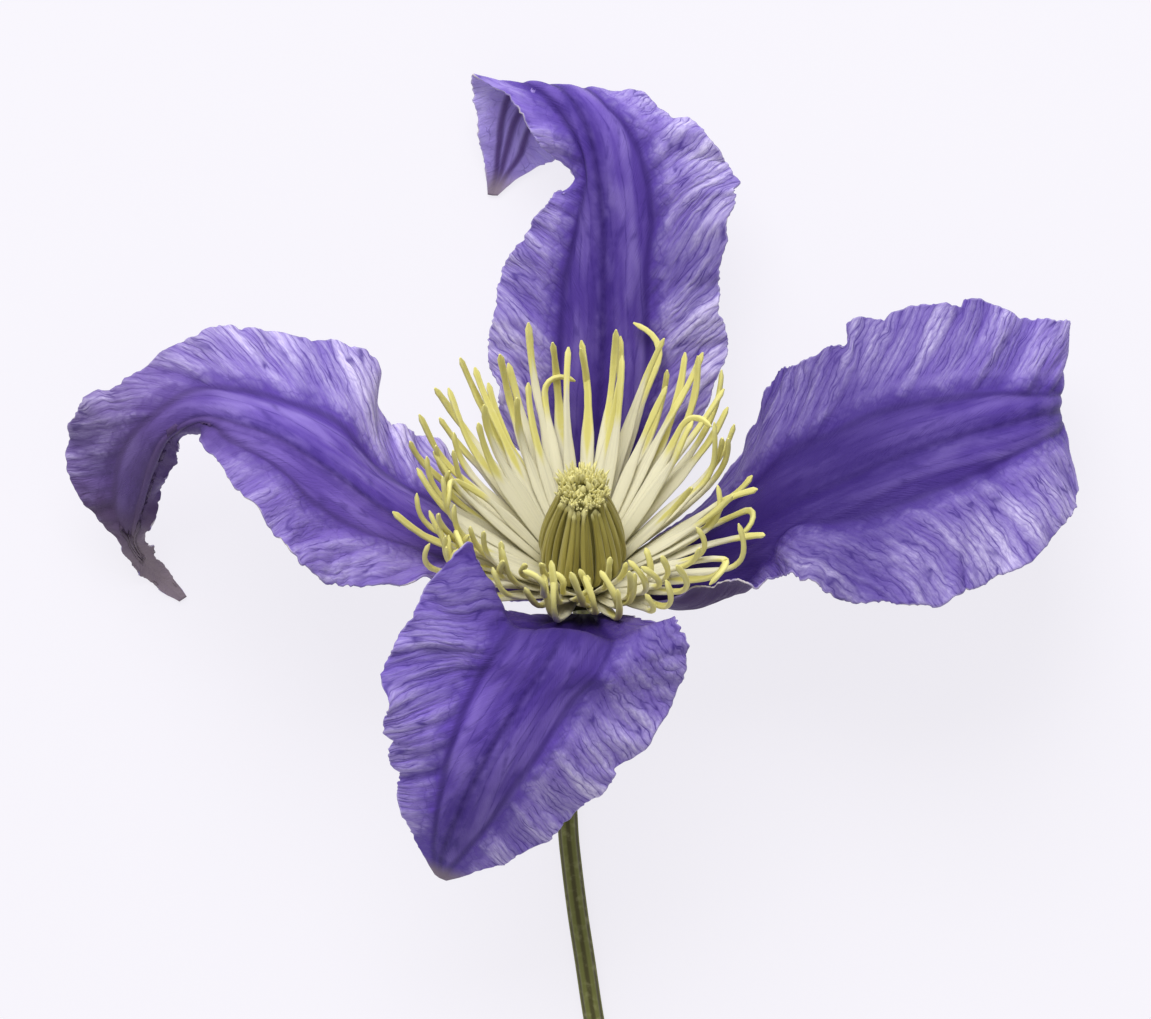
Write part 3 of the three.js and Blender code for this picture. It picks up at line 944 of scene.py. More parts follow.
class Tool:
    """A Geometry Nodes tree with named inputs that turns a guide mesh into a finished one."""

    name = "tool"
    numbers: dict[str, float] = {}
    materials: tuple[str, ...] = ()

    def __init__(self) -> None:
        """Builds the tree with its inputs."""
        self.tree = bpy.data.node_groups.new(self.name, "GeometryNodeTree")
        self.graph = Graph(self.tree)
        kinds = {"Geometry": "NodeSocketGeometry"}
        kinds |= dict.fromkeys(self.numbers, "NodeSocketFloat")
        kinds |= dict.fromkeys(self.materials, "NodeSocketMaterial")
        face = self.tree.interface
        self.identifiers = {}
        for title, kind in kinds.items():
            self.identifiers[title] = face.new_socket(title, in_out="INPUT", socket_type=kind).identifier
        face.new_socket("Geometry", in_out="OUTPUT", socket_type="NodeSocketGeometry")
        self.given = self.graph.node("NodeGroupInput").outputs
        self.graph.node("NodeGroupOutput", {0: self.build()})

    def build(self) -> Socket:
        """The finished geometry, as a socket."""
        raise NotImplementedError

    def step(self, kind: str, inputs: Inputs, **settings: object) -> Socket:
        """The first output of a new node, mostly the geometry after it."""
        return self.graph.node(kind, inputs, **settings).outputs[0]

    def reading(self, kind: str) -> Socket:
        """The position, normal or tangent of the geometry, by the end of the node's type name."""
        return self.graph.node(f"GeometryNodeInput{kind}").outputs[0]

    def named(self, attribute: str, kind: str = "FLOAT") -> Socket:
        """An attribute of the guide mesh."""
        return self.step("GeometryNodeInputNamedAttribute", {"Name": attribute}, data_type=kind)

    def kept(self, geometry: object, value: object, kind: str) -> tuple[object, object]:
        """A value read now and kept on the points, whatever moves them later.

        Args:
            geometry: the geometry at this stage.
            value: the field to keep.
            kind: FLOAT or VECTOR.

        Returns:
            The geometry and the kept value.
        """
        made = self.graph.node("GeometryNodeCaptureAttribute", domain="POINT")
        made.capture_items.new(kind, "value")
        self.tree.links.new(geometry, made.inputs[0])
        self.tree.links.new(value, made.inputs[1])
        return made.outputs[0], made.outputs[1]

    def finished(self, geometry: object, coats: dict[str, object]) -> Socket:
        """The geometry made real and smooth, with its materials.

        Args:
            geometry: the geometry at its last stage.
            coats: what each material input covers, by the input's name.

        Returns:
            The finished geometry.
        """
        made = self.step("GeometryNodeSetShadeSmooth", {0: geometry, "Shade Smooth": True})
        made = self.step("GeometryNodeRealizeInstances", {0: made})
        for title, selection in coats.items():
            inputs = {"Geometry": made, "Selection": selection, "Material": self.given[title]}
            made = self.step("GeometryNodeSetMaterial", inputs)
        return made

    def run(self, guide: bpy.types.Object, name: str, values: dict[str, object]) -> bpy.types.Object:
        """A plain mesh made from a guide, which is removed.

        Args:
            guide: the object that holds the guide mesh.
            name: the new object's name.
            values: a value for each of the tree's inputs.

        Returns:
            The new object.
        """
        modifier = guide.modifiers.new(self.name, "NODES")
        modifier.node_group = self.tree
        for title, value in (self.numbers | values).items():
            modifier[self.identifiers[title]] = value
        layer = bpy.context.evaluated_depsgraph_get()
        layer.update()
        shaped = guide.evaluated_get(layer)
        mesh = bpy.data.meshes.new_from_object(shaped, preserve_all_data_layers=True, depsgraph=layer)
        guide.modifiers.remove(modifier)
        bpy.data.objects.remove(guide)
        mesh.name = name
        return placed(name, mesh)


class BladeTool(Tool):
    """Raises the veins, folds and pleats of a tepal on a thin sheet, and gives it its thickness."""

    name = "tepal_blade"
    numbers = {
        "Vein Height": 0.045,
        "Fold Height": 0.2,
        "Swell Height": 0.65,
        "Pleat Height": 0.13,
        "Thickness": 0.3,
        "Margin Thickness": 0.16,
    }
    materials = ("Inner Face", "Outer Face", "Margin")
    margin_reach = 1.6
    weld = 1e-6

    def __init__(self, veins: VeinField) -> None:
        """Keeps the vein field, which the finish of the tepal shares."""
        self.veins = veins
        super().__init__()

    def relief(self, rib: object, inside: object) -> object:
        """The height of the sheet's own relief, in millimetres.

        Args:
            rib: the distance to the nearest rib.
            inside: 1 between the side ribs, falling to 0 beyond them.

        Returns:
            The height.
        """
        graph = self.graph
        veins, place = self.veins, self.named("veins", "FLOAT_VECTOR")
        outside = graph.math("SUBTRACT", 1.0, inside)
        coarse, _ = veins.lines(graph, place, rib)
        height = graph.product(veins.bulges(graph, coarse, rib, outside, 0.1), self.given["Vein Height"])
        for noise, title, where in (
            (veins.along_veins(graph, place, veins.fold), "Fold Height", outside),
            (veins.along_veins(graph, place, veins.swell), "Swell Height", outside),
            (veins.along_blade(graph, place, veins.pleat), "Pleat Height", inside),
        ):
            centred = graph.math("SUBTRACT", noise, 0.5)
            height = graph.total(height, graph.product(centred, self.given[title], where))
        return graph.product(height, self.named("strength"))

    def moved(self, geometry: object, heading: object, distance: object, selection: object = True) -> object:
        """The selected points moved along a direction by millimetres.

        Args:
            geometry: the sheet.
            heading: the direction, of length 1.
            distance: how far, in millimetres.
            selection: which points move.

        Returns:
            The moved sheet.
        """
        offset = self.graph.vector_math("SCALE", heading, self.graph.product(distance, MM))
        inputs = {"Geometry": geometry, "Selection": selection, "Offset": offset}
        return self.step("GeometryNodeSetPosition", inputs)

    def build(self) -> Socket:
        """The closed blade, with a material on each face and on the margin.

        Returns:
            The last socket of the tree.
        """
        graph = self.graph
        rib, edge, inside = graph.split(self.named("lines", "FLOAT_VECTOR"))
        normal = self.reading("Normal")
        raised = self.moved(self.given["Geometry"], normal, self.relief(rib, inside))
        thin, thick = self.given["Margin Thickness"], self.given["Thickness"]
        thickness = graph.band(edge, 0.0, self.margin_reach, thin, thick)
        inner = self.moved(raised, normal, graph.product(thickness, 0.5))
        inner, heading = self.kept(inner, normal, "VECTOR")
        inner, depth = self.kept(inner, thickness, "FLOAT")
        inputs = {"Mesh": inner, "Offset Scale": 0.0, "Individual": False}
        sheet, back, walls = graph.node("GeometryNodeExtrudeMesh", inputs).outputs[:3]
        outer = self.moved(sheet, heading, graph.product(depth, -1.0), back)
        outer = self.step("GeometryNodeFlipFaces", {0: outer})
        joined = graph.node("GeometryNodeJoinGeometry", {0: inner})
        self.tree.links.new(outer, joined.inputs[0])
        closed = self.step("GeometryNodeMergeByDistance", {0: joined.outputs[0], "Distance": self.weld})
        return self.finished(closed, {"Inner Face": True, "Outer Face": back, "Margin": walls})


class SweepTool(Tool):
    """Sweeps a rounded section along guide lines, with a width and a depth of its own at each point."""

    name = "swept_bars"
    numbers = {"Sides": 10.0, "Ribs": 0.0, "Rib Height": 0.0, "Groove": 0.0, "Roughness": 0.0}
    materials = ("Material",)
    grain_scale = 2400.0
    groove_power = 5.0

    def directions(self, tangent: object) -> tuple[object, object]:
        """The directions of the bar's width and of its depth, square to its line.

        Args:
            tangent: the line's direction.

        Returns:
            Both directions.
        """
        graph = self.graph
        wide = self.named("wide", "FLOAT_VECTOR")
        lengthwise = graph.vector_math("SCALE", tangent, graph.vector_math("DOT_PRODUCT", wide, tangent))
        wide = graph.vector_math("NORMALIZE", graph.vector_math("SUBTRACT", wide, lengthwise))
        return wide, graph.vector_math("CROSS_PRODUCT", tangent, wide)

    def section(self, cosine: object, sine: object, wave: object) -> tuple[object, object]:
        """How far each point of the section stands from the line, in its width and in its depth.

        Args:
            cosine: the point's cosine round the section.
            sine: its sine.
            wave: the swell of the furrows there.

        Returns:
            Both distances, in millimetres.
        """
        graph, given = self.graph, self.given
        rough = self.named("rough")
        grain = graph.math("SUBTRACT", graph.noise(self.reading("Position"), self.grain_scale), 0.5)
        grain = graph.product(grain, given["Roughness"], 2.0, rough)
        swell = graph.total(graph.product(wave, given["Rib Height"]), 1.0, grain)
        facing = graph.math("MAXIMUM", sine, 0.0)
        hollow = graph.product(graph.math("POWER", facing, self.groove_power), given["Groove"], rough)
        depth_swell = graph.math("SUBTRACT", swell, hollow)
        across = graph.product(self.named("half_width"), cosine, swell)
        return across, graph.product(self.named("half_depth"), sine, depth_swell)

    def build(self) -> Socket:
        """The bars, closed at their ends.

        Returns:
            The last socket of the tree.
        """
        graph = self.graph
        curve = self.step("GeometryNodeMeshToCurve", {0: self.given["Geometry"]})
        curve, place = self.kept(curve, self.reading("Position"), "VECTOR")
        curve, tangent = self.kept(curve, self.reading("Tangent"), "VECTOR")
        inputs = {"Resolution": self.given["Sides"], "Radius": MM}
        circle = self.step("GeometryNodeCurvePrimitiveCircle", inputs)
        factor = graph.node("GeometryNodeSplineParameter").outputs["Factor"]
        profile, turn = self.kept(circle, factor, "FLOAT")
        inputs = {"Curve": curve, "Profile Curve": profile, "Fill Caps": True}
        swept = self.step("GeometryNodeCurveToMesh", inputs)
        angle = graph.product(turn, math.tau)
        wave = graph.math("COSINE", graph.product(angle, self.given["Ribs"]))
        cosine, sine = graph.math("COSINE", angle), graph.math("SINE", angle)
        offsets = zip(self.directions(tangent), self.section(cosine, sine, wave))
        across, through = (graph.vector_math("SCALE", way, graph.product(size, MM)) for way, size in offsets)
        place = graph.vector_math("ADD", place, graph.vector_math("ADD", across, through))
        shaped = self.step("GeometryNodeSetPosition", {"Geometry": swept, "Position": place})
        for title, value in (("stripe", wave), ("edge", graph.math("ABSOLUTE", cosine))):
            stored = {"Geometry": shaped, "Name": title, "Value": value}
            shaped = self.step("GeometryNodeStoreNamedAttribute", stored, data_type="FLOAT")
        return self.finished(shaped, {"Material": True})


def guide_object(
    points: np.ndarray, edges: list, faces: list, attributes: dict[str, np.ndarray]
) -> bpy.types.Object:
    """An object with a guide mesh for a tool.

    Args:
        points: the vertices, in metres.
        edges: pairs of vertex numbers.
        faces: groups of four vertex numbers.
        attributes: numbers or vectors at the vertices, by name.

    Returns:
        The object, in the scene.
    """
    mesh = bpy.data.meshes.new("guide")
    mesh.from_pydata(points.tolist(), edges, faces)
    for name, values in attributes.items():
        kind, key = ("FLOAT_VECTOR", "vector") if values.shape[1:] else ("FLOAT", "value")
        layer = mesh.attributes.new(name, kind, "POINT")
        layer.data.foreach_set(key, values.astype(np.float32).ravel())
    return placed("guide", mesh)


def with_side_ribs(row: Row) -> np.ndarray:
    """A row's five points. A row of three gets its side ribs between the midrib and the margins.

    Args:
        row: three or five points across the blade.

    Returns:
        The five points.
    """
    points = np.array(row, dtype=float)
    if len(points) == 5:
        return points
    first, middle, second = points
    first_rib, second_rib = (middle + RIB_SHARE * (end - middle) for end in (first, second))
    return np.stack([first, first_rib, middle, second_rib, second])


class Sheet:
    """A tepal's smooth middle as rows of points, with distances and directions at each point."""

    def __init__(self, points: np.ndarray, share: np.ndarray, rib_share: np.ndarray) -> None:
        """Measures the sheet.

        Args:
            points: the points, with a row for each step along the blade.
            share: the place of each column across the blade, from -1 to 1.
            rib_share: how far out the side ribs lie in each row, from 0 to 1.
        """
        self.points, self.share = points, share
        centre = len(share) // 2
        self.lengthwise = np.gradient(points, axis=0)
        self.crosswise = unit(np.gradient(points, axis=1))
        self.normal = unit(np.cross(self.crosswise, self.lengthwise))
        spans = np.linalg.norm(np.diff(points, axis=1), axis=2)
        width = np.concatenate([np.zeros((len(points), 1)), np.cumsum(spans, axis=1)], axis=1)
        self.width = width - width[:, centre : centre + 1]
        self.length = np.broadcast_to(lengths_along(points[:, centre])[:, None], width.shape)
        self.to_tip = self.length[-1:] - self.length
        self.progress = self.length / self.length[-1, 0]
        self.sides = np.sign(share)[None, :] + (share == 0)
        self.side_ribs = [
            np.array([np.interp(side * place, share, row) for place, row in zip(rib_share, self.width)])
            for side in (-1, 1)
        ]
        self.inside = smoothstep(*CENTRAL_BAND, np.abs(share)[None, :] / rib_share[:, None])
        self.margin = np.clip((np.abs(share) - RIB_SHARE) / (1 - RIB_SHARE), 0, 1)[None, :]

    def rib_distance(self) -> np.ndarray:
        """The distance from each point to the nearest rib.

        Returns:
            The distances, in millimetres.
        """
        first, second = self.side_ribs
        ribs = np.stack([first, np.zeros(len(first)), second], axis=1)
        return np.abs(self.width[:, :, None] - ribs[:, None, :]).min(axis=2)

    def edge_distance(self) -> np.ndarray:
        """The distance from each point to the nearest margin, or to the tip.

        Returns:
            The distances, in millimetres.
        """
        to_first = self.width - self.width[:, :1]
        to_second = self.width[:, -1:] - self.width
        return np.minimum(np.minimum(to_first, to_second), self.to_tip)

    def slanted(self, inner: float, outer: float, bend: float) -> np.ndarray:
        """How far up the blade each point lies from where its side vein leaves the midrib.

        Args:
            inner: the slope of the veins between the side ribs.
            outer: their slope beyond the side ribs.
            bend: how fast they bend outwards there.

        Returns:
            The distance along the blade.
        """
        first, second = self.side_ribs
        reach = np.abs(self.width)
        rib_reach = np.where(self.width < 0, -first[:, None], second[:, None])
        beyond = np.maximum(0, reach - rib_reach)
        return inner * np.minimum(reach, rib_reach) + outer * beyond - bend * beyond**2

    def faces(self) -> list[list[int]]:
        """The four corners of each face.

        Returns:
            The corners' numbers, counted row by row.
        """
        rows, columns = self.width.shape
        corner = (np.arange(rows - 1)[:, None] * columns + np.arange(columns - 1)).ravel()
        return np.stack([corner, corner + 1, corner + 1 + columns, corner + columns], axis=1).tolist()


@dataclass(frozen=True)
class Waves:
    """The broad waves of a tepal's margins, as in its solid."""

    count: float
    height: float
    phase: float
    twist: float


@dataclass
class Tepal:
    """One tepal: a sheet through rows of points, with ribs, waved and toothed margins, and veins."""

    part: Part
    waves: Waves
    seed: int
    rows: tuple[Row, ...]
    length_steps: int = 300
    width_steps: int = 120
    claw: float = 0.9
    claw_length: float = 1.6
    rib_depth: float = 0.18
    rib_width: float = 0.055
    closing: float = 0.12
    closing_run: Span = (0.25, 0.75)
    dents: tuple[tuple[int, float, float, float], ...] = ()
    dent_bend: float = 1.6
    dent_step: float = 0.7
    flare: float = 0.2
    calm_foot: float = 5.0
    calm_end: float = 4.0
    calm_tip: float = 13.0
    tip_fade: float = 0.86
    # A brown tint along the blade, which on the left tepal also stands for shade, and painted shade on one
    # side, mixed in as brown.
    browning_and_shade: float = 0.0
    browning_rise: Span = (0.42, 0.7)
    browning_fall: Span = (1.05, 0.8)
    side_shade: Span = (0.0, 0.0)
    dry_tip: float = 0.0
    dry_run: Span = (0.74, 0.97)
    # Painted shade near the tip, in the rib valleys and at the foot.
    tip_shade: float = 0.0
    tip_rise: Span = (0.6, 0.8)
    tip_fall: Span = (1.0, 0.88)
    valley_shade: float = 0.0
    valley_reach: Span = (1.5, 0.1)
    shade: float = 0.6
    shade_reach: float = 0.35
    shade_full: float = 0.35
    # The strength of the painted sheen on each side, and how it changes along the blade.
    painted_sheen: Span = (1.0, 1.0)
    painted_sheen_run: Span = (1.0, 1.0)
    painted_sheen_places: Span = (0.3, 0.8)
    ruffles: tuple[Span, ...] = ((5.2, 0.3), (2.8, 0.24), (1.6, 0.14))
    scallops: tuple[Span, ...] = ((6.4, 0.5), (3.0, 0.34))
    teeth: tuple[Span, ...] = ((1.5, 0.3), (0.7, 0.18))
    inner_slope: float = 2.2
    outer_slope: float = 1.15
    slope_bend: float = 0.022

    def middle(self, along: np.ndarray, across: np.ndarray) -> np.ndarray:
        """The blade's smooth middle, as rows of points."""
        lengthwise = smooth_line(np.stack([with_side_ribs(row) for row in self.rows]), along)
        return smooth_line(lengthwise.transpose(1, 0, 2), across).transpose(1, 0, 2)

    def even_places(self) -> np.ndarray:
        """Places along the blade that are evenly spaced on its midrib.

        Returns:
            The places, from 0 to 1.
        """
        trial = np.linspace(0, 1, 800)
        length = lengths_along(self.middle(trial, np.array([0.5]))[:, 0])
        return np.interp(np.linspace(0, length[-1], self.length_steps + 1), length, trial)

    def rib_share(self, along: np.ndarray) -> np.ndarray:
        """How far out the side ribs lie, which close up towards the tip."""
        return RIB_SHARE * (1 - self.closing * smoothstep(*self.closing_run, along))

    def broad_relief(self, along: np.ndarray, across: np.ndarray) -> np.ndarray:
        """The ribs and broad waves that the solid has too.

        Args:
            along: the place along the blade.
            across: the place across it.

        Returns:
            The heights, in millimetres.
        """
        fade = np.sin(np.pi * np.minimum(1, along / self.tip_fade)) ** 0.5
        aside = 0.25 * self.rib_share(along) / RIB_SHARE
        ribs = sum(np.exp(-(((across - 0.5 - side * aside) / self.rib_width) ** 2)) for side in (-1, 0, 1))
        phase = np.where(across < 0.5, self.waves.phase, self.waves.phase + self.waves.twist)
        wave = np.sin(math.tau * self.waves.count * along + phase)
        edge = np.abs(2 * across - 1) ** 3
        relief = fade * (self.waves.height * edge * wave - self.rib_depth * ribs)
        return np.where(along > self.tip_fade, 0, relief)

    def wavering(self, sheet: Sheet, waves: Sequence[Span], salt: int) -> np.ndarray:
        """A sum of irregular waves along each margin.

        Args:
            sheet: the blade's middle.
            waves: pairs of wave length and height.
            salt: a number that sets these draws apart from others.

        Returns:
            The sum at each point.
        """
        draw = np.random.default_rng(self.seed * 10 + salt)
        first, second = np.zeros_like(sheet.length), np.zeros_like(sheet.length)
        for wavelength, height in waves:
            knots = np.arange(-1, sheet.length.max() / wavelength * 2 + 3)
            for total in (first, second):
                heights = draw.uniform(-0.5, 0.5, len(knots)) + 0.3 * (-1.0) ** knots
                place = 2 * sheet.length / wavelength + draw.uniform(0, 1)
                index = np.clip(np.floor(place).astype(int) + 1, 0, len(knots) - 2)
                bend = smoothstep(0, 1, place - np.floor(place))
                total += height * (heights[index] * (1 - bend) + heights[index + 1] * bend)
        return np.where(sheet.sides < 0, first, second)

    def dented(self, sheet: Sheet) -> np.ndarray:
        """How far the margins draw in, ever deeper from the start of a dent to the sudden step at its end.

        Args:
            sheet: the blade's flat sheet.

        Returns:
            The depth at each point, in millimetres.
        """
        depth = np.zeros(sheet.width.shape)
        for side, start, end, deepest in self.dents:
            rise = np.clip((sheet.length - start) / (end - start), 0, 1) ** self.dent_bend
            step = smoothstep(end + math.copysign(self.dent_step, end - start), end, sheet.length)
            depth += np.where(sheet.sides == side, deepest * rise * step, 0.0)
        return depth

    def shaped(self, sheet: Sheet, relief: np.ndarray, calm: np.ndarray) -> np.ndarray:
        """The sheet's points with its ruffled and toothed margins and its claw.

        Args:
            sheet: the blade's middle.
            relief: the height of its ribs and broad waves.
            calm: how far each point may move, less near the foot and the tip.

        Returns:
            The points.
        """
        relief = relief + calm * sheet.margin**2 * self.wavering(sheet, self.ruffles, 1)
        tooth = self.flare + self.wavering(sheet, self.scallops, 3) - self.dented(sheet)
        tooth = sheet.margin**4 * tooth
        tooth = calm * (tooth - sheet.margin**8 * np.abs(self.wavering(sheet, self.teeth, 2)))
        points = sheet.points + relief[..., None] * sheet.normal
        points = points + (tooth * sheet.sides)[..., None] * sheet.crosswise
        claw = self.claw * smoothstep(self.claw_length, 0, sheet.length)
        return points - claw[..., None] * unit(sheet.lengthwise)

    def tinted(self, sheet: Sheet, rib_distance: np.ndarray) -> np.ndarray:
        """The place along the blade, its painted shade, and its brown tint, which carries painted shade too,
        at each point.

        Args:
            sheet: the blade's sheet.
            rib_distance: the distance to the nearest rib.

        Returns:
            The three numbers of each point.
        """
        progress = sheet.progress
        browning_and_shade = self.browning_and_shade * smoothstep(*self.browning_rise, progress)
        browning_and_shade = browning_and_shade * smoothstep(*self.browning_fall, progress)
        # Painted shade on the first side, mixed in as brown.
        browning_and_shade = browning_and_shade + np.where(sheet.sides < 0, *self.side_shade)
        browning_and_shade = browning_and_shade + 2 * self.dry_tip * smoothstep(*self.dry_run, progress)
        # Painted shade at the foot, near the tip and in the rib valleys.
        shade = self.shade * smoothstep(self.shade_reach, self.shade_full * self.shade_reach, progress)
        near_tip = smoothstep(*self.tip_rise, progress) * smoothstep(*self.tip_fall, progress)
        shade = shade + self.tip_shade * sheet.inside * near_tip
        shade = shade + self.valley_shade * smoothstep(*self.valley_reach, rib_distance) * (1 - shade)
        return np.stack([progress, shade, browning_and_shade], axis=-1)

    def guide(self, placement: Placement) -> bpy.types.Object:
        """The sheet with what its veins need to know at each point.

        Args:
            placement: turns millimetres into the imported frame.

        Returns:
            The guide that the blade is made from.
        """
        along = self.even_places()
        share = np.linspace(-1, 1, self.width_steps + 1)
        reach = np.abs(share)
        inner = 0.25 * reach / RIB_SHARE
        outer = 0.25 + 0.25 * (reach - RIB_SHARE) / (1 - RIB_SHARE)
        across = 0.5 + np.sign(share) * np.where(reach <= RIB_SHARE, inner, outer)
        sheet = Sheet(self.middle(along, across), share, self.rib_share(along))
        calm = smoothstep(0, self.calm_foot, sheet.length) * smoothstep(0, self.calm_end, sheet.to_tip)
        points = self.shaped(sheet, self.broad_relief(along[:, None], across[None, :]), calm)
        slant = sheet.slanted(self.inner_slope, self.outer_slope, self.slope_bend)
        rib_distance = sheet.rib_distance()
        # The strength of the painted sheen at each point.
        painted_sheen = np.where(sheet.sides < 0, *self.painted_sheen)
        fields = {
            "veins": np.stack([sheet.length - slant, sheet.width, sheet.length], axis=-1),
            "lines": np.stack([rib_distance, sheet.edge_distance(), sheet.inside], axis=-1),
            "blade": self.tinted(sheet, rib_distance),
            "strength": calm * smoothstep(0, self.calm_tip, sheet.to_tip),
            "painted_sheen": painted_sheen * np.interp(sheet.progress, self.painted_sheen_places, self.painted_sheen_run),
        }
        attributes = {name: values.reshape(-1, *values.shape[2:]) for name, values in fields.items()}
        return guide_object(placement.metres(points.reshape(-1, 3)), [], sheet.faces(), attributes)

    def build(self, tool: BladeTool, placement: Placement) -> bpy.types.Object:
        """The finished tepal.

        Args:
            tool: the tree that makes blades.
            placement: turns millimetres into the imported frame.

        Returns:
            The piece.
        """
        materials = {
            "Inner Face": TepalFinish().material(),
            "Outer Face": OUTER_FACE.material(),
            "Margin": TepalMargin().material(),
        }
        return tool.run(self.guide(placement), f"{self.part.value}_blade", materials)


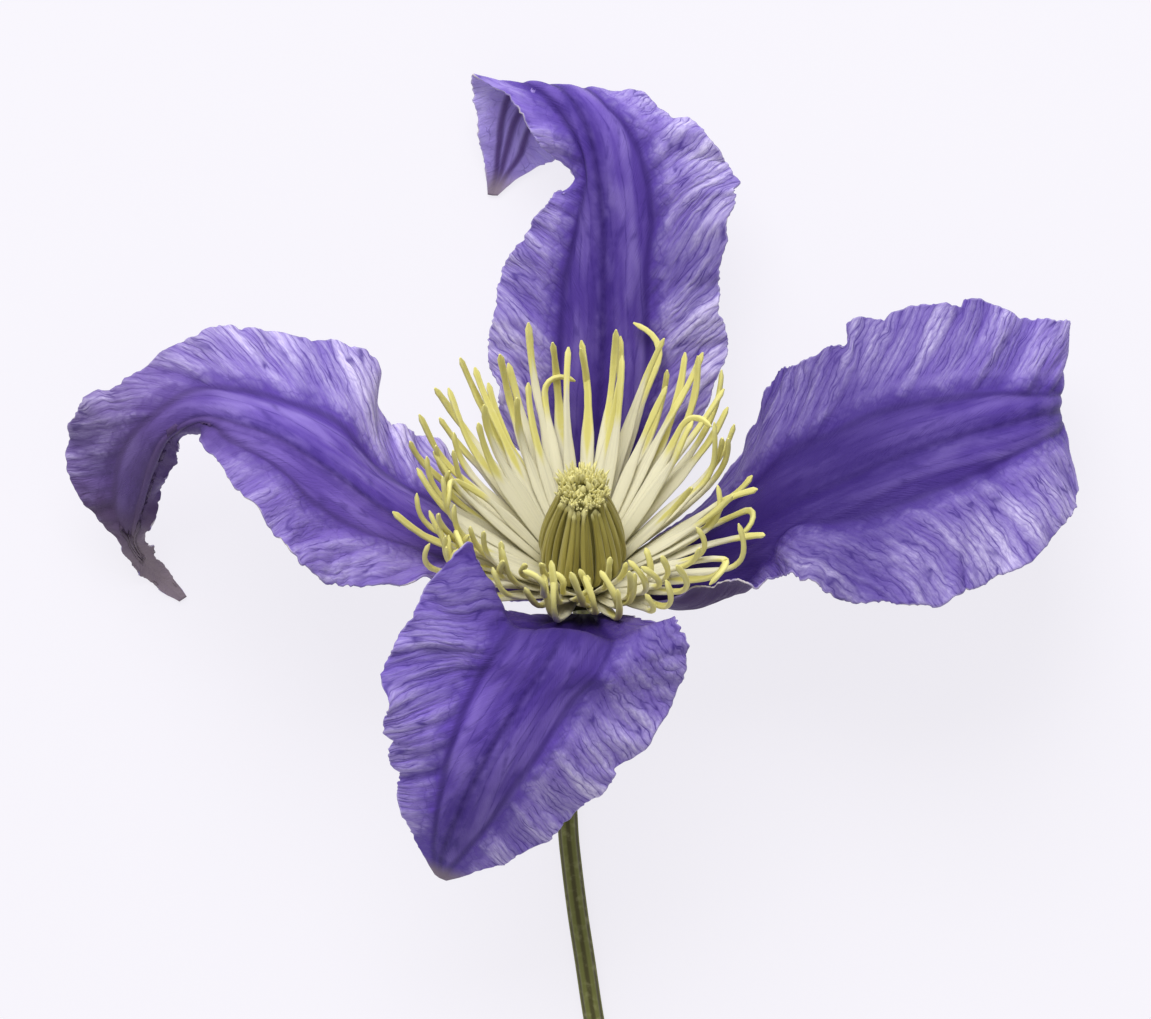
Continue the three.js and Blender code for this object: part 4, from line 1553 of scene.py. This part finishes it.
TEPALS = (
    Tepal(
        Part.BACK,
        Waves(count=5.5, height=0.5, phase=0.4, twist=1.9),
        seed=6,
        shade=0.5,
        shade_reach=0.85,
        valley_shade=0.28,
        painted_sheen=(0.95, 1.2),
        painted_sheen_run=(1.0, 0.6),
        rows=(
            ((-1.9, 1.9, 9.4), (0.0, 2.1, 9.0), (1.9, 1.9, 9.4)),
            ((-3.4, 5.6, 8.6), (0.6, 6.0, 7.6), (4.6, 5.6, 8.6)),
            ((-6.2, 12.0, 7.7), (1.1, 11.6, 6.6), (9.2, 12.0, 8.0)),
            ((-7.5, 17.2, 6.7), (1.5, 17.2, 6.4), (11.1, 17.8, 8.0)),
            ((-6.7, 23.2, 6.4), (1.6, 22.8, 6.9), (10.5, 23.2, 8.6)),
            ((-4.0, 28.2, 6.2), (1.6, 28.0, 7.5), (12.0, 29.6, 9.0)),
            ((-1.2, 31.4, 6.9), (1.1, 32.4, 8.2), (11.8, 32.2, 9.0)),
            ((-2.7, 33.8, 7.4), (0.4, 35.6, 8.3), (10.0, 35.0, 8.5)),
            ((-4.4, 36.2, 7.4), (-1.0, 38.3, 7.7), (7.4, 36.6, 7.4)),
            ((-6.6, 39.0, 6.7), (-2.6, 39.4, 6.1), (4.6, 38.8, 5.3)),
            ((-8.7, 40.2, 5.3), (-3.8, 39.1, 4.3), (1.4, 37.6, 3.0)),
            ((-8.7, 37.8, 3.5), (-5.4, 36.8, 2.6), (-1.7, 34.8, 1.8)),
            ((-8.2, 34.8, 2.0), (-6.2, 34.2, 1.2), (-2.7, 33.4, 1.1)),
            ((-7.8, 32.6, 0.8), (-6.7, 32.3, 0.3), (-5.0, 32.2, 0.5)),
            ((-7.7, 30.7, 0.2), (-7.3, 30.6, 0.2), (-6.9, 30.6, 0.2)),
        ),
    ),
    Tepal(
        Part.LEFT,
        Waves(count=6.5, height=0.45, phase=2.1, twist=0.7),
        seed=28,
        shade=0.3,
        shade_reach=0.3,
        valley_shade=0.22,
        ruffles=((5.2, 0.5), (2.8, 0.4), (1.6, 0.14)),
        painted_sheen=(0.55, 1.15),
        painted_sheen_run=(1.0, 0.8),
        browning_and_shade=0.6,
        side_shade=(0.26, 0.08),
        dry_tip=0.8,
        rows=(
            ((-3.5, -2.1, 12.5), (-3.7, -0.6, 11.3), (-3.5, 0.8, 10.1)),
            ((-6.6, -1.8, 15.4), (-7.0, 0.8, 12.8), (-6.6, 4.4, 9.3)),
            ((-12.1, -0.8, 17.4), (-12.1, 3.0, 14.6), (-11.4, 10.2, 8.6)),
            ((-18.0, -0.6, 19.6), (-16.6, 5.8, 16.0), (-15.6, 12.4, 10.2)),
            ((-22.2, 0.7, 21.0), (-20.4, 8.6, 17.0), (-17.7, 17.8, 11.2)),
            ((-25.2, 4.7, 20.6), (-23.8, 10.8, 17.3), (-22.6, 18.9, 12.0)),
            ((-28.7, 8.4, 19.2), (-27.4, 12.1, 17.1), (-27.8, 19.6, 12.5)),
            ((-30.2, 11.6, 15.7), (-30.6, 12.6, 16.2), (-32.4, 18.6, 12.8)),
            ((-32.2, 10.7, 13.2), (-33.4, 11.1, 14.4), (-36.6, 15.6, 12.2)),
            ((-32.9, 9.0, 10.8), (-34.8, 8.8, 11.8), (-40.1, 13.6, 10.4)),
            ((-33.8, 7.0, 8.2), (-35.6, 6.4, 9.0), (-41.4, 9.8, 8.3)),
            ((-34.7, 4.7, 5.8), (-36.2, 4.2, 6.2), (-40.2, 6.2, 6.6)),
            ((-35.4, 2.7, 3.6), (-36.3, 2.4, 3.7), (-37.0, 2.4, 4.0)),
            ((-34.6, 1.5, 1.8), (-35.4, 1.0, 1.6), (-36.0, 0.4, 1.4)),
            ((-33.4, 0.3, 0.5), (-34.1, -0.4, 0.3), (-34.7, -0.9, 0.3)),
            ((-32.0, -1.8, 0.2), (-32.3, -2.0, 0.2), (-32.6, -2.2, 0.2)),
        ),
    ),
    Tepal(
        Part.RIGHT,
        Waves(count=6.0, height=0.5, phase=1.2, twist=2.6),
        seed=51,
        rib_depth=0.28,
        shade=0.88,
        shade_reach=0.9,
        valley_shade=0.32,
        painted_sheen=(0.8, 0.95),
        painted_sheen_run=(0.7, 0.9),
        closing=0.5,
        dents=((-1, 17.5, 23.7, 1.9), (-1, 25.0, 26.8, 0.6), (-1, 28.5, 32.3, 0.8), (-1, 33.4, 36.5, 0.4)),
        rows=(
            ((3.5, 0.8, 10.1), (3.7, -0.6, 11.3), (3.5, -2.1, 12.5)),
            ((7.0, 4.0, 9.4), (7.1, 2.4, 11.0), (7.2, 0.8, 12.4), (7.8, -2.6, 15.0), (8.0, -1.9, 17.3)),
            ((12.7, 9.0, 8.6), (12.1, 5.7, 11.8), (11.8, 3.0, 14.1), (12.0, -1.2, 16.6), (12.2, -0.7, 18.8)),
            ((15.1, 15.8, 9.6), (16.6, 5.8, 15.7), (16.2, 0.2, 19.8)),
            ((17.9, 17.4, 10.2), (21.0, 7.8, 16.5), (19.1, -1.2, 21.0)),
            ((21.5, 20.2, 10.2), (25.4, 9.6, 16.8), (23.4, -2.1, 21.4)),
            ((26.6, 21.4, 10.2), (29.4, 11.0, 16.5), (28.2, -2.0, 21.0)),
            ((31.1, 21.9, 9.9), (33.4, 12.1, 15.4), (32.7, -0.2, 19.5)),
            ((35.4, 20.7, 9.3), (36.4, 12.8, 13.3), (36.7, 2.2, 17.0)),
            ((38.6, 20.0, 7.7), (38.2, 13.2, 10.2), (39.6, 6.0, 13.1)),
            ((37.4, 18.4, 5.4), (38.0, 13.4, 7.0), (39.1, 8.4, 9.3)),
            ((35.8, 16.2, 3.0), (36.2, 13.6, 3.8), (37.4, 11.0, 5.0)),
            ((34.0, 15.0, 0.6), (34.0, 13.8, 0.6), (34.8, 12.6, 1.1)),
            ((31.8, 14.4, 0.2), (32.0, 14.1, 0.2), (32.2, 13.8, 0.2)),
        ),
    ),
    Tepal(
        Part.FRONT,
        Waves(count=5.0, height=0.4, phase=0.9, twist=1.4),
        seed=72,
        shade=1.0,
        shade_reach=0.62,
        tip_shade=0.3,
        dents=((1, 27.6, 24.7, 0.6), (1, 31.4, 28.7, 1.1), (1, 34.6, 31.9, 0.8)),
        painted_sheen=(1.0, 0.9),
        painted_sheen_run=(0.3, 0.95),
        rows=(
            ((1.9, -3.1, 13.4), (0.0, -3.4, 13.5), (-1.9, -3.1, 13.4)),
            ((3.0, -3.2, 17.0), (-0.2, -3.8, 16.6), (-3.8, -3.1, 17.1)),
            ((4.2, -3.8, 20.5), (-0.5, -4.3, 20.2), (-6.6, -3.0, 21.0)),
            ((5.4, -4.2, 23.8), (2, -5, 23.6), (-1, -4.7, 23.8), (-4.8, -4.2, 24.2), (-9.2, -0.6, 25.2)),
            ((7.1, -3.6, 27), (2.3, -5.3, 26.8), (-1.3, -4.2, 27.3), (-5.5, -4, 27.6), (-9, 2.6, 28.2)),
            ((8.1, -5.6, 26.8), (1.6, -7.4, 28.2), (-2.7, -6.6, 29), (-7.3, -6.2, 28.9), (-12.2, -0.8, 28.2)),
            ((7.2, -9.2, 26.0), (-5.0, -10.0, 28.3), (-14.8, -5.6, 27.6)),
            ((4.8, -13.3, 24.6), (-6.9, -13.0, 26.9), (-16.0, -10.0, 26.0)),
            ((1.5, -16.8, 22.8), (-8.6, -16.2, 24.8), (-15.6, -13.7, 24.0)),
            ((-2.1, -20.3, 20.6), (-10.1, -19.3, 22.2), (-14.5, -17.2, 21.8)),
            ((-6.0, -22.7, 18.6), (-11.0, -21.5, 19.6), (-13.5, -20.2, 19.5)),
            ((-8.9, -23.8, 17.0), (-11.4, -23.0, 17.5), (-12.6, -22.4, 17.6)),
            ((-10.9, -24.3, 16.2), (-11.4, -24.1, 16.5), (-11.8, -23.8, 16.6)),
        ),
    ),
)


@dataclass
class Guides:
    """Guide lines for the sweep, with the size of the bar at each of their points."""

    points: list[np.ndarray] = field(default_factory=list)
    edges: list[tuple[int, int]] = field(default_factory=list)
    columns: dict[str, list[np.ndarray]] = field(default_factory=dict)

    def add(self, points: np.ndarray, wide: np.ndarray, closed: bool = False, **sizes: object) -> None:
        """Adds one line.

        Args:
            points: the line's points, in the flower's frame.
            wide: the direction of the bar's width at each point, or one for all.
            closed: whether the line closes on itself.
            sizes: half_width, half_depth, share, tone and rough, at each point or one for all.
        """
        start = sum(len(line) for line in self.points)
        count = len(points)
        self.points.append(points)
        self.edges += [(start + i, start + i + 1) for i in range(count - 1)]
        if closed:
            self.edges.append((start + count - 1, start))
        self.columns.setdefault("wide", []).append(np.broadcast_to(wide, (count, 3)))
        for name in ("half_width", "half_depth", "share", "tone", "rough"):
            value = np.asarray(sizes.get(name, 0.0), dtype=float)
            self.columns.setdefault(name, []).append(np.broadcast_to(value, (count,)))

    def swept(self, tool: SweepTool, placement: Placement, name: str, values: dict) -> bpy.types.Object:
        """The bars of all the lines, as one mesh.

        Args:
            tool: the tree that sweeps the bars.
            placement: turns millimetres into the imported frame.
            name: the piece's name.
            values: the tree's inputs.

        Returns:
            The piece.
        """
        attributes = {title: np.concatenate(parts) for title, parts in self.columns.items()}
        points = placement.metres(np.concatenate(self.points))
        return tool.run(guide_object(points, self.edges, [], attributes), name, values)


def turned(first: np.ndarray, second: np.ndarray, angle: np.ndarray) -> np.ndarray:
    """The directions between two, at an angle from the first towards the second, at each point."""
    return np.cos(angle)[:, None] * first + np.sin(angle)[:, None] * second


def rounded(share: np.ndarray, length: float, blunt: float, power: int) -> np.ndarray:
    """How a bar closes at its end.

    Args:
        share: places along the bar, from 0 to 1.
        length: the share of the bar that narrows.
        blunt: the square of the size that is left at the end.
        power: how late it narrows.

    Returns:
        A factor for its size at each place.
    """
    return np.sqrt(np.maximum(blunt, 1 - np.clip((share - 1 + length) / length, 0, 1) ** power))


def spaced(draw: np.random.Generator, number: int, count: int, jitter: float) -> Iterator[float]:
    """The angles of the bars in a ring, each drawn when its turn comes.

    Args:
        draw: the source of their small differences.
        number: the ring's number. Every other ring stands in the gaps of the one before.
        count: how many bars stand in the ring.
        jitter: how far each may stand aside, as a share of its room.

    Yields:
        The angles round the head's axis.
    """
    for k in range(count):
        yield math.tau * (k + number % 2 / 2 + draw.uniform(-jitter, jitter)) / count


@dataclass(frozen=True)
class Whorl:
    """One ring of stamens: how many, and how far they stand out, lean and fall short."""

    count: int
    root: float
    opening: float
    shorter: float


@dataclass
class StamenBowl:
    """The bowl of stamens: broad cream filaments on a collar, with slim yellow anthers that curl in.

    The leans and turns are degrees, the lengths are millimetres, and the runs are shares of a
    stamen's length. A name that ends in facing, aside, curled or hooked holds how much such a stamen
    differs, and one that ends in draw holds the range of each stamen's own small difference.
    """

    whorls: tuple[Whorl, ...] = (
        Whorl(40, 3.05, 5, 0),
        Whorl(33, 2.9, -1, 0.8),
        Whorl(27, 2.8, -9, 1.8),
    )
    collar_radius: float = 2.9
    collar_foot: float = 0.3
    collar_top: float = 1.2
    collar_half_sizes: Span = (0.5, 0.45)
    collar_steps: int = 48
    sinking: float = 0.5
    lean: float = 48.0
    lean_facing: float = -6.0
    lean_aside: float = 9.0
    lean_curled: float = 7.0
    lean_draw: Span = (-4, 4)
    tip_lean: float = 18.0
    tip_lean_facing: float = -12.0
    tip_lean_draw: Span = (-26, 20)
    curl: float = 20.0
    curl_facing: float = 22.0
    bend_start: Span = (0.34, 0.6)
    wiggle: Span = (-14, 14)
    wiggle_run: Span = (0.5, 0.8)
    sway: Span = (-9, 9)
    bend: float = 24.0
    bend_facing: float = 10.0
    hook: Span = (70, 150)
    hook_run: Span = (0.74, 0.96)
    twist: Span = (-0.5, 0.5)
    length: float = 15.2
    length_facing: float = -3.2
    length_aside: float = 1.2
    length_hooked: float = 0.8
    length_draw: Span = (-2.9, 0.9)
    filament_half_sizes: Span = (0.56, 0.13)
    anther_half_sizes: Span = (0.28, 0.24)
    anther_start: float = 0.64
    anther_draw: Span = (-0.12, 0.06)
    anther_run: Span = (-0.2, 0.04)
    anther_wave: float = 0.1
    foot_slimming: float = 0.3
    tip_slimming: float = 0.08
    width_draw: Span = (0.88, 1.12)
    curled_share: float = 0.5
    curled_from: float = 0.1
    hooked_share: float = 0.09
    aside_at: float = 0.3
    aside_room: float = 0.5
    left_extra: int = 12
    left_side: Span = (-115, -55)
    jitter: float = 0.42
    steps: int = 34
    seed: int = 7

    def posture(
        self, draw: np.random.Generator, whorl: Whorl, facing: float
    ) -> tuple[np.ndarray, np.ndarray, float]:
        """How one stamen leans and turns, and how long it is.

        Args:
            draw: the source of its own small differences.
            whorl: the ring that it stands in.
            facing: 1 on the side that faces up off the table, and -1 on the side below.

        Returns:
            Its leans and its turns at each place along it, in radians, and its length.
        """
        share = np.linspace(0, 1, self.steps)
        curled = facing > self.curled_from and draw.uniform() < self.curled_share
        hooked = draw.uniform() < self.hooked_share
        aside = max(0.0, 1 - abs(facing - self.aside_at) / self.aside_room)
        lean = self.lean + self.lean_facing * facing + self.lean_aside * aside + whorl.opening
        lean = math.radians(lean + draw.uniform(*self.lean_draw) + self.lean_curled * curled)
        tip_lean = self.tip_lean + self.tip_lean_facing * facing + draw.uniform(*self.tip_lean_draw)
        tip_lean = math.radians(tip_lean - (self.curl + self.curl_facing * facing) * curled)
        length = self.length + self.length_facing * facing + self.length_aside * aside - whorl.shorter
        length = length + draw.uniform(*self.length_draw) + self.length_hooked * hooked
        angle = lean + (tip_lean - lean) * smoothstep(draw.uniform(*self.bend_start), 1, share)
        wiggle = draw.uniform(*self.wiggle) * np.sin(draw.uniform(5, 9) * share + draw.uniform(0, math.tau))
        angle = angle + math.radians(1) * wiggle * smoothstep(*self.wiggle_run, share)
        bend = self.bend + self.bend_facing * facing
        turn = draw.uniform(*self.sway) * share + draw.uniform(-bend, bend) * smoothstep(0.5, 1, share)
        hook = draw.choice([-1, 1]) * draw.uniform(*self.hook) * hooked
        return angle, np.radians(turn + hook * smoothstep(*self.hook_run, share)), length

    def add_stamen(self, guides: Guides, draw: np.random.Generator, whorl: Whorl, around: float) -> None:
        """Adds one stamen's guide line.

        Args:
            guides: the lines to add to.
            draw: the source of its own small differences.
            whorl: the ring that it stands in.
            around: its angle round the head's axis.
        """
        share = np.linspace(0, 1, self.steps)
        angle, turn, length = self.posture(draw, whorl, math.cos(around))
        away, aside = outwards(around), sideways(around)
        upright = turned(in_head(1, 0, 0) - in_head(0, 0, 0), away, angle)
        root = in_head(self.collar_top - self.sinking, whorl.root, around)
        steps = turned(upright, aside, turn)[:-1] * length / (self.steps - 1)
        points = root + np.concatenate([np.zeros((1, 3)), np.cumsum(steps, axis=0)])
        twist = draw.uniform(*self.twist) * share
        wide = turned(turned(aside, -upright, turn), -away, twist)
        start = self.anther_start + draw.uniform(*self.anther_draw)
        anther = smoothstep(*(start + shift for shift in self.anther_run), share)
        wave = np.sin(draw.uniform(18, 30) * share + draw.uniform(0, math.tau))
        size = (1 - self.tip_slimming * smoothstep(0.8, 1, share)) * rounded(share, 0.035, 0.1, 3)
        slim = 1 - self.foot_slimming * smoothstep(0.35, 0, share)
        slim = slim * (1 + self.anther_wave * wave * anther)
        half_width, half_depth = (
            (filament + (tip - filament) * anther) * size
            for filament, tip in zip(self.filament_half_sizes, self.anther_half_sizes)
        )
        guides.add(
            points,
            wide,
            half_width=half_width * slim * draw.uniform(*self.width_draw),
            half_depth=half_depth,
            share=share,
            tone=draw.uniform(),
            rough=anther,
        )

    def build(self, tool: SweepTool, placement: Placement) -> bpy.types.Object:
        """All stamens with their collar.

        Args:
            tool: the tree that sweeps the bars.
            placement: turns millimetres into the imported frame.

        Returns:
            The piece.
        """
        draw = np.random.default_rng(self.seed)
        guides = Guides()
        turns = np.linspace(0, math.tau, self.collar_steps, endpoint=False)
        collar = in_head((self.collar_foot + self.collar_top) / 2, self.collar_radius, turns)
        wide, deep = self.collar_half_sizes
        guides.add(collar, outwards(turns), closed=True, half_width=wide, half_depth=deep)
        for number, whorl in enumerate(self.whorls):
            for around in spaced(draw, number, whorl.count, self.jitter):
                self.add_stamen(guides, draw, whorl, around)
        for _ in range(self.left_extra):
            whorl = self.whorls[draw.integers(len(self.whorls))]
            self.add_stamen(guides, draw, whorl, math.radians(draw.uniform(*self.left_side)))
        values = {"Sides": 12.0, "Groove": 0.35, "Roughness": 0.16, "Material": StamenFinish().material()}
        return guides.swept(tool, placement, "stamen_bowl", values)


@dataclass(frozen=True)
class Ring:
    """One ring of carpels, which stands inwards of the column's outline and above its top."""

    count: int
    inset: float
    rise: float


@dataclass
class CarpelColumn:
    """The barrel of carpels: slim silky styles side by side, with beaded stigmas and a downy crown."""

    profile: tuple[Span, ...] = (
        (2.0, 0.3), (2.2, 1.1), (2.85, 1.75), (3.35, 2.6), (3.45, 3.6),
        (3.3, 5.1), (2.95, 6.8), (2.5, 8.6), (2.2, 9.9), (1.9, 10.8),
    )
    rings: tuple[Ring, ...] = (
        Ring(32, 0.27, 0.0),
        Ring(24, 0.5, 0.15),
        Ring(17, 0.85, 0.3),
        Ring(11, 1.2, 0.4),
        Ring(5, 1.6, 0.45),
    )
    widest: float = 3.45
    half_width: float = 0.32
    width_draw: Span = (0.78, 1.2)
    height_draw: Span = (-1.3, 0.5)
    pull_draw: Span = (-0.08, 0.12)
    tip_pull: float = 0.3
    drift: float = 1.1
    wriggle: float = 0.5
    jitter: float = 0.15
    bead_run: Span = (0.84, 0.9)
    bead: float = 0.28
    bead_wave: float = 0.16
    core_inset: float = 0.42
    bristles: int = 270
    bristle_half_width: float = 0.095
    bristle_draw: Span = (0.8, 1.25)
    bristle_length: Span = (-0.1, 0.45)
    bristle_lean: float = 0.3
    steps: int = 26
    seed: int = 21

    def outline(self, share: np.ndarray) -> tuple[np.ndarray, np.ndarray]:
        """The column's radius and height at a share of its outline."""
        line = smooth_line(np.array(self.profile), share)
        return line[:, 0], line[:, 1]

    def add_style(self, guides: Guides, draw: np.random.Generator, ring: Ring, around: float) -> None:
        """Adds the guide line of one carpel with its style and stigma.

        Args:
            guides: the lines to add to.
            draw: the source of its own small differences.
            ring: the ring that it stands in.
            around: its angle round the head's axis.
        """
        share = np.linspace(0, 1, self.steps)
        radius, along = self.outline(share)
        lift = ring.rise + draw.uniform(*self.height_draw) - 0.35 * math.cos(around)
        lift = lift * smoothstep(0.75, 1, share)
        pull = draw.uniform(*self.pull_draw) + draw.uniform(0.0, self.tip_pull) * smoothstep(0.6, 1, share)
        drift = draw.uniform(-self.drift, self.drift) * self.half_width * np.sin(3 * share)
        drift = drift + draw.uniform(-self.wriggle, self.wriggle) * self.half_width * np.sin(7 * share)
        turn = around + drift / np.maximum(radius, 1)
        out = np.maximum(radius - ring.inset - pull, 0.05)
        stigma = smoothstep(*self.bead_run, share)
        beads = stigma * (self.bead + self.bead_wave * np.sin(60 * share + draw.uniform(0, math.tau)))
        slender = 0.34 + 0.66 * radius / self.widest - 0.24 * smoothstep(0.66, 0.9, share)
        size = self.half_width * (slender + beads) * rounded(share, 0.06, 0.03, 2)
        size = size * draw.uniform(*self.width_draw)
        sizes = {"half_width": size, "half_depth": size, "share": share, "rough": stigma}
        guides.add(in_head(along + lift, out, turn), sideways(turn), tone=draw.uniform(), **sizes)

    def add_bristle(self, guides: Guides, draw: np.random.Generator, top: float, reach: float) -> None:
        """Adds one fine hair of the crown, which leans out more on its far side.

        Args:
            guides: the lines to add to.
            draw: the source of its own small differences.
            top: the height of the crown.
            reach: the radius of the crown.
        """
        around = draw.uniform(0, math.tau)
        out = reach * math.sqrt(draw.uniform(0.1, 1.0))
        far = 0.5 - 0.5 * math.cos(around)
        length = 0.15 + 0.7 * far + draw.uniform(*self.bristle_length)
        share = np.linspace(0, 1, 7)
        lean = (0.15 + 0.5 * far) * out / reach + draw.uniform(-self.bristle_lean, self.bristle_lean)
        radius = out + length * math.sin(lean) * share**1.4
        along = top - 0.3 * (out / reach) ** 2 + length * math.cos(lean) * share
        size = self.bristle_half_width * rounded(share, 1.0, 0.1, 5) * draw.uniform(*self.bristle_draw)
        sizes = {"half_width": size, "half_depth": size, "share": 0.9 + 0.1 * share, "rough": 1.0}
        guides.add(in_head(along, radius, around), sideways(around), tone=draw.uniform(), **sizes)

    def build(self, tool: SweepTool, placement: Placement) -> bpy.types.Object:
        """All carpels round their core, with the crown.

        Args:
            tool: the tree that sweeps the bars.
            placement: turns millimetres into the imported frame.

        Returns:
            The piece.
        """
        draw = np.random.default_rng(self.seed)
        guides = Guides()
        radius, along = self.outline(np.linspace(0, 0.98, 16))
        size = radius - self.core_inset
        guides.add(in_head(along, 0, 0), sideways(0.0), half_width=size, half_depth=size)
        for number, ring in enumerate(self.rings):
            for around in spaced(draw, number, ring.count, self.jitter):
                self.add_style(guides, draw, ring, around)
        for _ in range(self.bristles):
            self.add_bristle(guides, draw, along[-1], radius[-1] + 0.1)
        values = {"Sides": 10.0, "Roughness": 0.12, "Material": CarpelFinish().material()}
        return guides.swept(tool, placement, "carpel_column", values)


@dataclass
class Stem:
    """The ribbed stem, lying on the table, with the receptacle at its top."""

    radius: float = 0.78
    rib_height: float = 0.07
    ribs: float = 6.0
    lying: float = 0.85
    steps: int = 150
    receptacle: tuple[Span, ...] = ((1.4, -1.8), (2, -1.65), (2.6, -1.4), (3.2, -0.8), (3.2, -0.4), (2.7, 0))

    def route(self) -> np.ndarray:
        """The stem's centre line, chosen by hand as in the solid.

        Returns:
            Its points, in millimetres.
        """
        low = self.lying
        bend = [(0, -0.7, 11.2), (0, -1.8, 9.8), (0, -3.2, 8.2), (-0.4, -6.8, 4.9), (-0.9, -11.6, 2.0)]
        middle = [(-1.3, -16.4, low + 0.1), (-1.2, -20.5, low), (-0.9, -23.6, low), (-0.4, -27.5, low)]
        end = [(0.2, -31.4, low), (0.8, -35.4, low), (1.7, -40.4, low), (2.7, -46.0, low), (3.8, -53.0, low)]
        return np.array(bend + middle + end)

    def build(self, tool: SweepTool, placement: Placement) -> bpy.types.Object:
        """The stem and its receptacle.

        Args:
            tool: the tree that sweeps the bars.
            placement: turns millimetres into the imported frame.

        Returns:
            The piece.
        """
        guides = Guides()
        share = np.linspace(0, 1, self.steps)
        across = np.array([1.0, 0, 0])
        stalk = {"half_width": self.radius, "half_depth": self.radius, "share": share}
        guides.add(smooth_line(self.route(), share), across, **stalk)
        size, along = smooth_line(np.array(self.receptacle), np.linspace(0, 1, 16)).T
        guides.add(in_head(along, 0, 0), across, half_width=size, half_depth=size, share=1.0)
        values = {"Sides": 48.0, "Ribs": self.ribs, "Rib Height": self.rib_height}
        values["Material"] = StemFinish().material()
        return guides.swept(tool, placement, "stem_and_receptacle", values)


@dataclass
class Studio:
    """The plain table, the soft light and the camera."""

    camera_height: float = 1200.0
    view_width: float = 92.08
    view_centre: Span = (-0.6, 5.24)
    sensor: float = 36.0
    clip: Span = (0.05, 10.0)
    table_half: float = 1.6
    world_strength: float = 0.5
    key_power: float = 15.0
    key_place: tuple[float, float, float] = (-0.15, 0.8, 0.85)
    key_aim: tuple[float, float, float] = (0, 0, 0.01)
    key_size: float = 0.8

    def place_camera(self, placement: Placement) -> None:
        """A long lens that looks straight down.

        Args:
            placement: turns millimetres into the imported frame.
        """
        data = bpy.data.cameras.new("view")
        data.sensor_width = self.sensor
        data.lens = self.sensor * self.camera_height / self.view_width
        data.clip_start, data.clip_end = self.clip
        camera = placed("view", data)
        point = np.array([[*self.view_centre, HEAD_HEIGHT + self.camera_height]])
        camera.location = placement.metres(point)[0]
        bpy.context.scene.camera = camera

    def place_table(self) -> None:
        """A wide flat table top."""
        reach = self.table_half
        corners = [(x, y, 0) for x, y in ((-reach, -reach), (reach, -reach), (reach, reach), (-reach, reach))]
        mesh = bpy.data.meshes.new("table")
        mesh.from_pydata(corners, [], [(0, 1, 2, 3)])
        mesh.materials.append(TableFinish().material())
        placed("table", mesh)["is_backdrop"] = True

    def light(self) -> None:
        """An even bright room with one large soft light beyond the flower's top."""
        scene = bpy.context.scene
        scene.world = bpy.data.worlds.new("room")
        scene.world.use_nodes = True
        background = scene.world.node_tree.nodes["Background"]
        background.inputs["Color"].default_value = (1.0, 1.0, 1.0, 1.0)
        background.inputs["Strength"].default_value = self.world_strength
        data = bpy.data.lights.new("key", "AREA")
        data.energy = self.key_power
        data.size = self.key_size
        lamp = placed("key", data)
        lamp.location = self.key_place
        aim = Vector(self.key_aim) - Vector(self.key_place)
        lamp.rotation_euler = aim.to_track_quat("-Z", "Y").to_euler()
        scene.view_settings.view_transform = "Standard"


def dress(piece: bpy.types.Object, part: Part, slot: str) -> None:
    """Sets a finished piece in the place of its solid, and logs its size in triangles.

    Args:
        piece: the finished piece.
        part: the node it stands for.
        slot: its kind of finish; not used.
    """
    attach(piece, BODY)
    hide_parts(part.value)
    piece.data.calc_loop_triangles()
    log.info("%s: %d triangles", piece.name, len(piece.data.loop_triangles))


def main() -> None:
    """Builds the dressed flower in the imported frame."""
    logging.basicConfig(level=logging.INFO, format="%(message)s")
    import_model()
    solid_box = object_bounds()
    placement = Placement()
    studio = Studio()
    studio.place_camera(placement)
    studio.place_table()
    studio.light()
    blade = BladeTool(VeinField())
    for tepal in TEPALS:
        dress(tepal.build(blade, placement), tepal.part, "tepal")
    sweep = SweepTool()
    for bundle, part, slot in (
        (StamenBowl(), Part.STAMENS, "stamen"),
        (CarpelColumn(), Part.CARPELS, "carpel"),
        (Stem(), Part.STEM, "stem"),
    ):
        dress(bundle.build(sweep, placement), part, slot)
    boxes = {"solid": solid_box, "dressed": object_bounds()}
    {name: [list(corner) for corner in box] for name, box in boxes.items()}


if __name__ == "__main__":
    main()
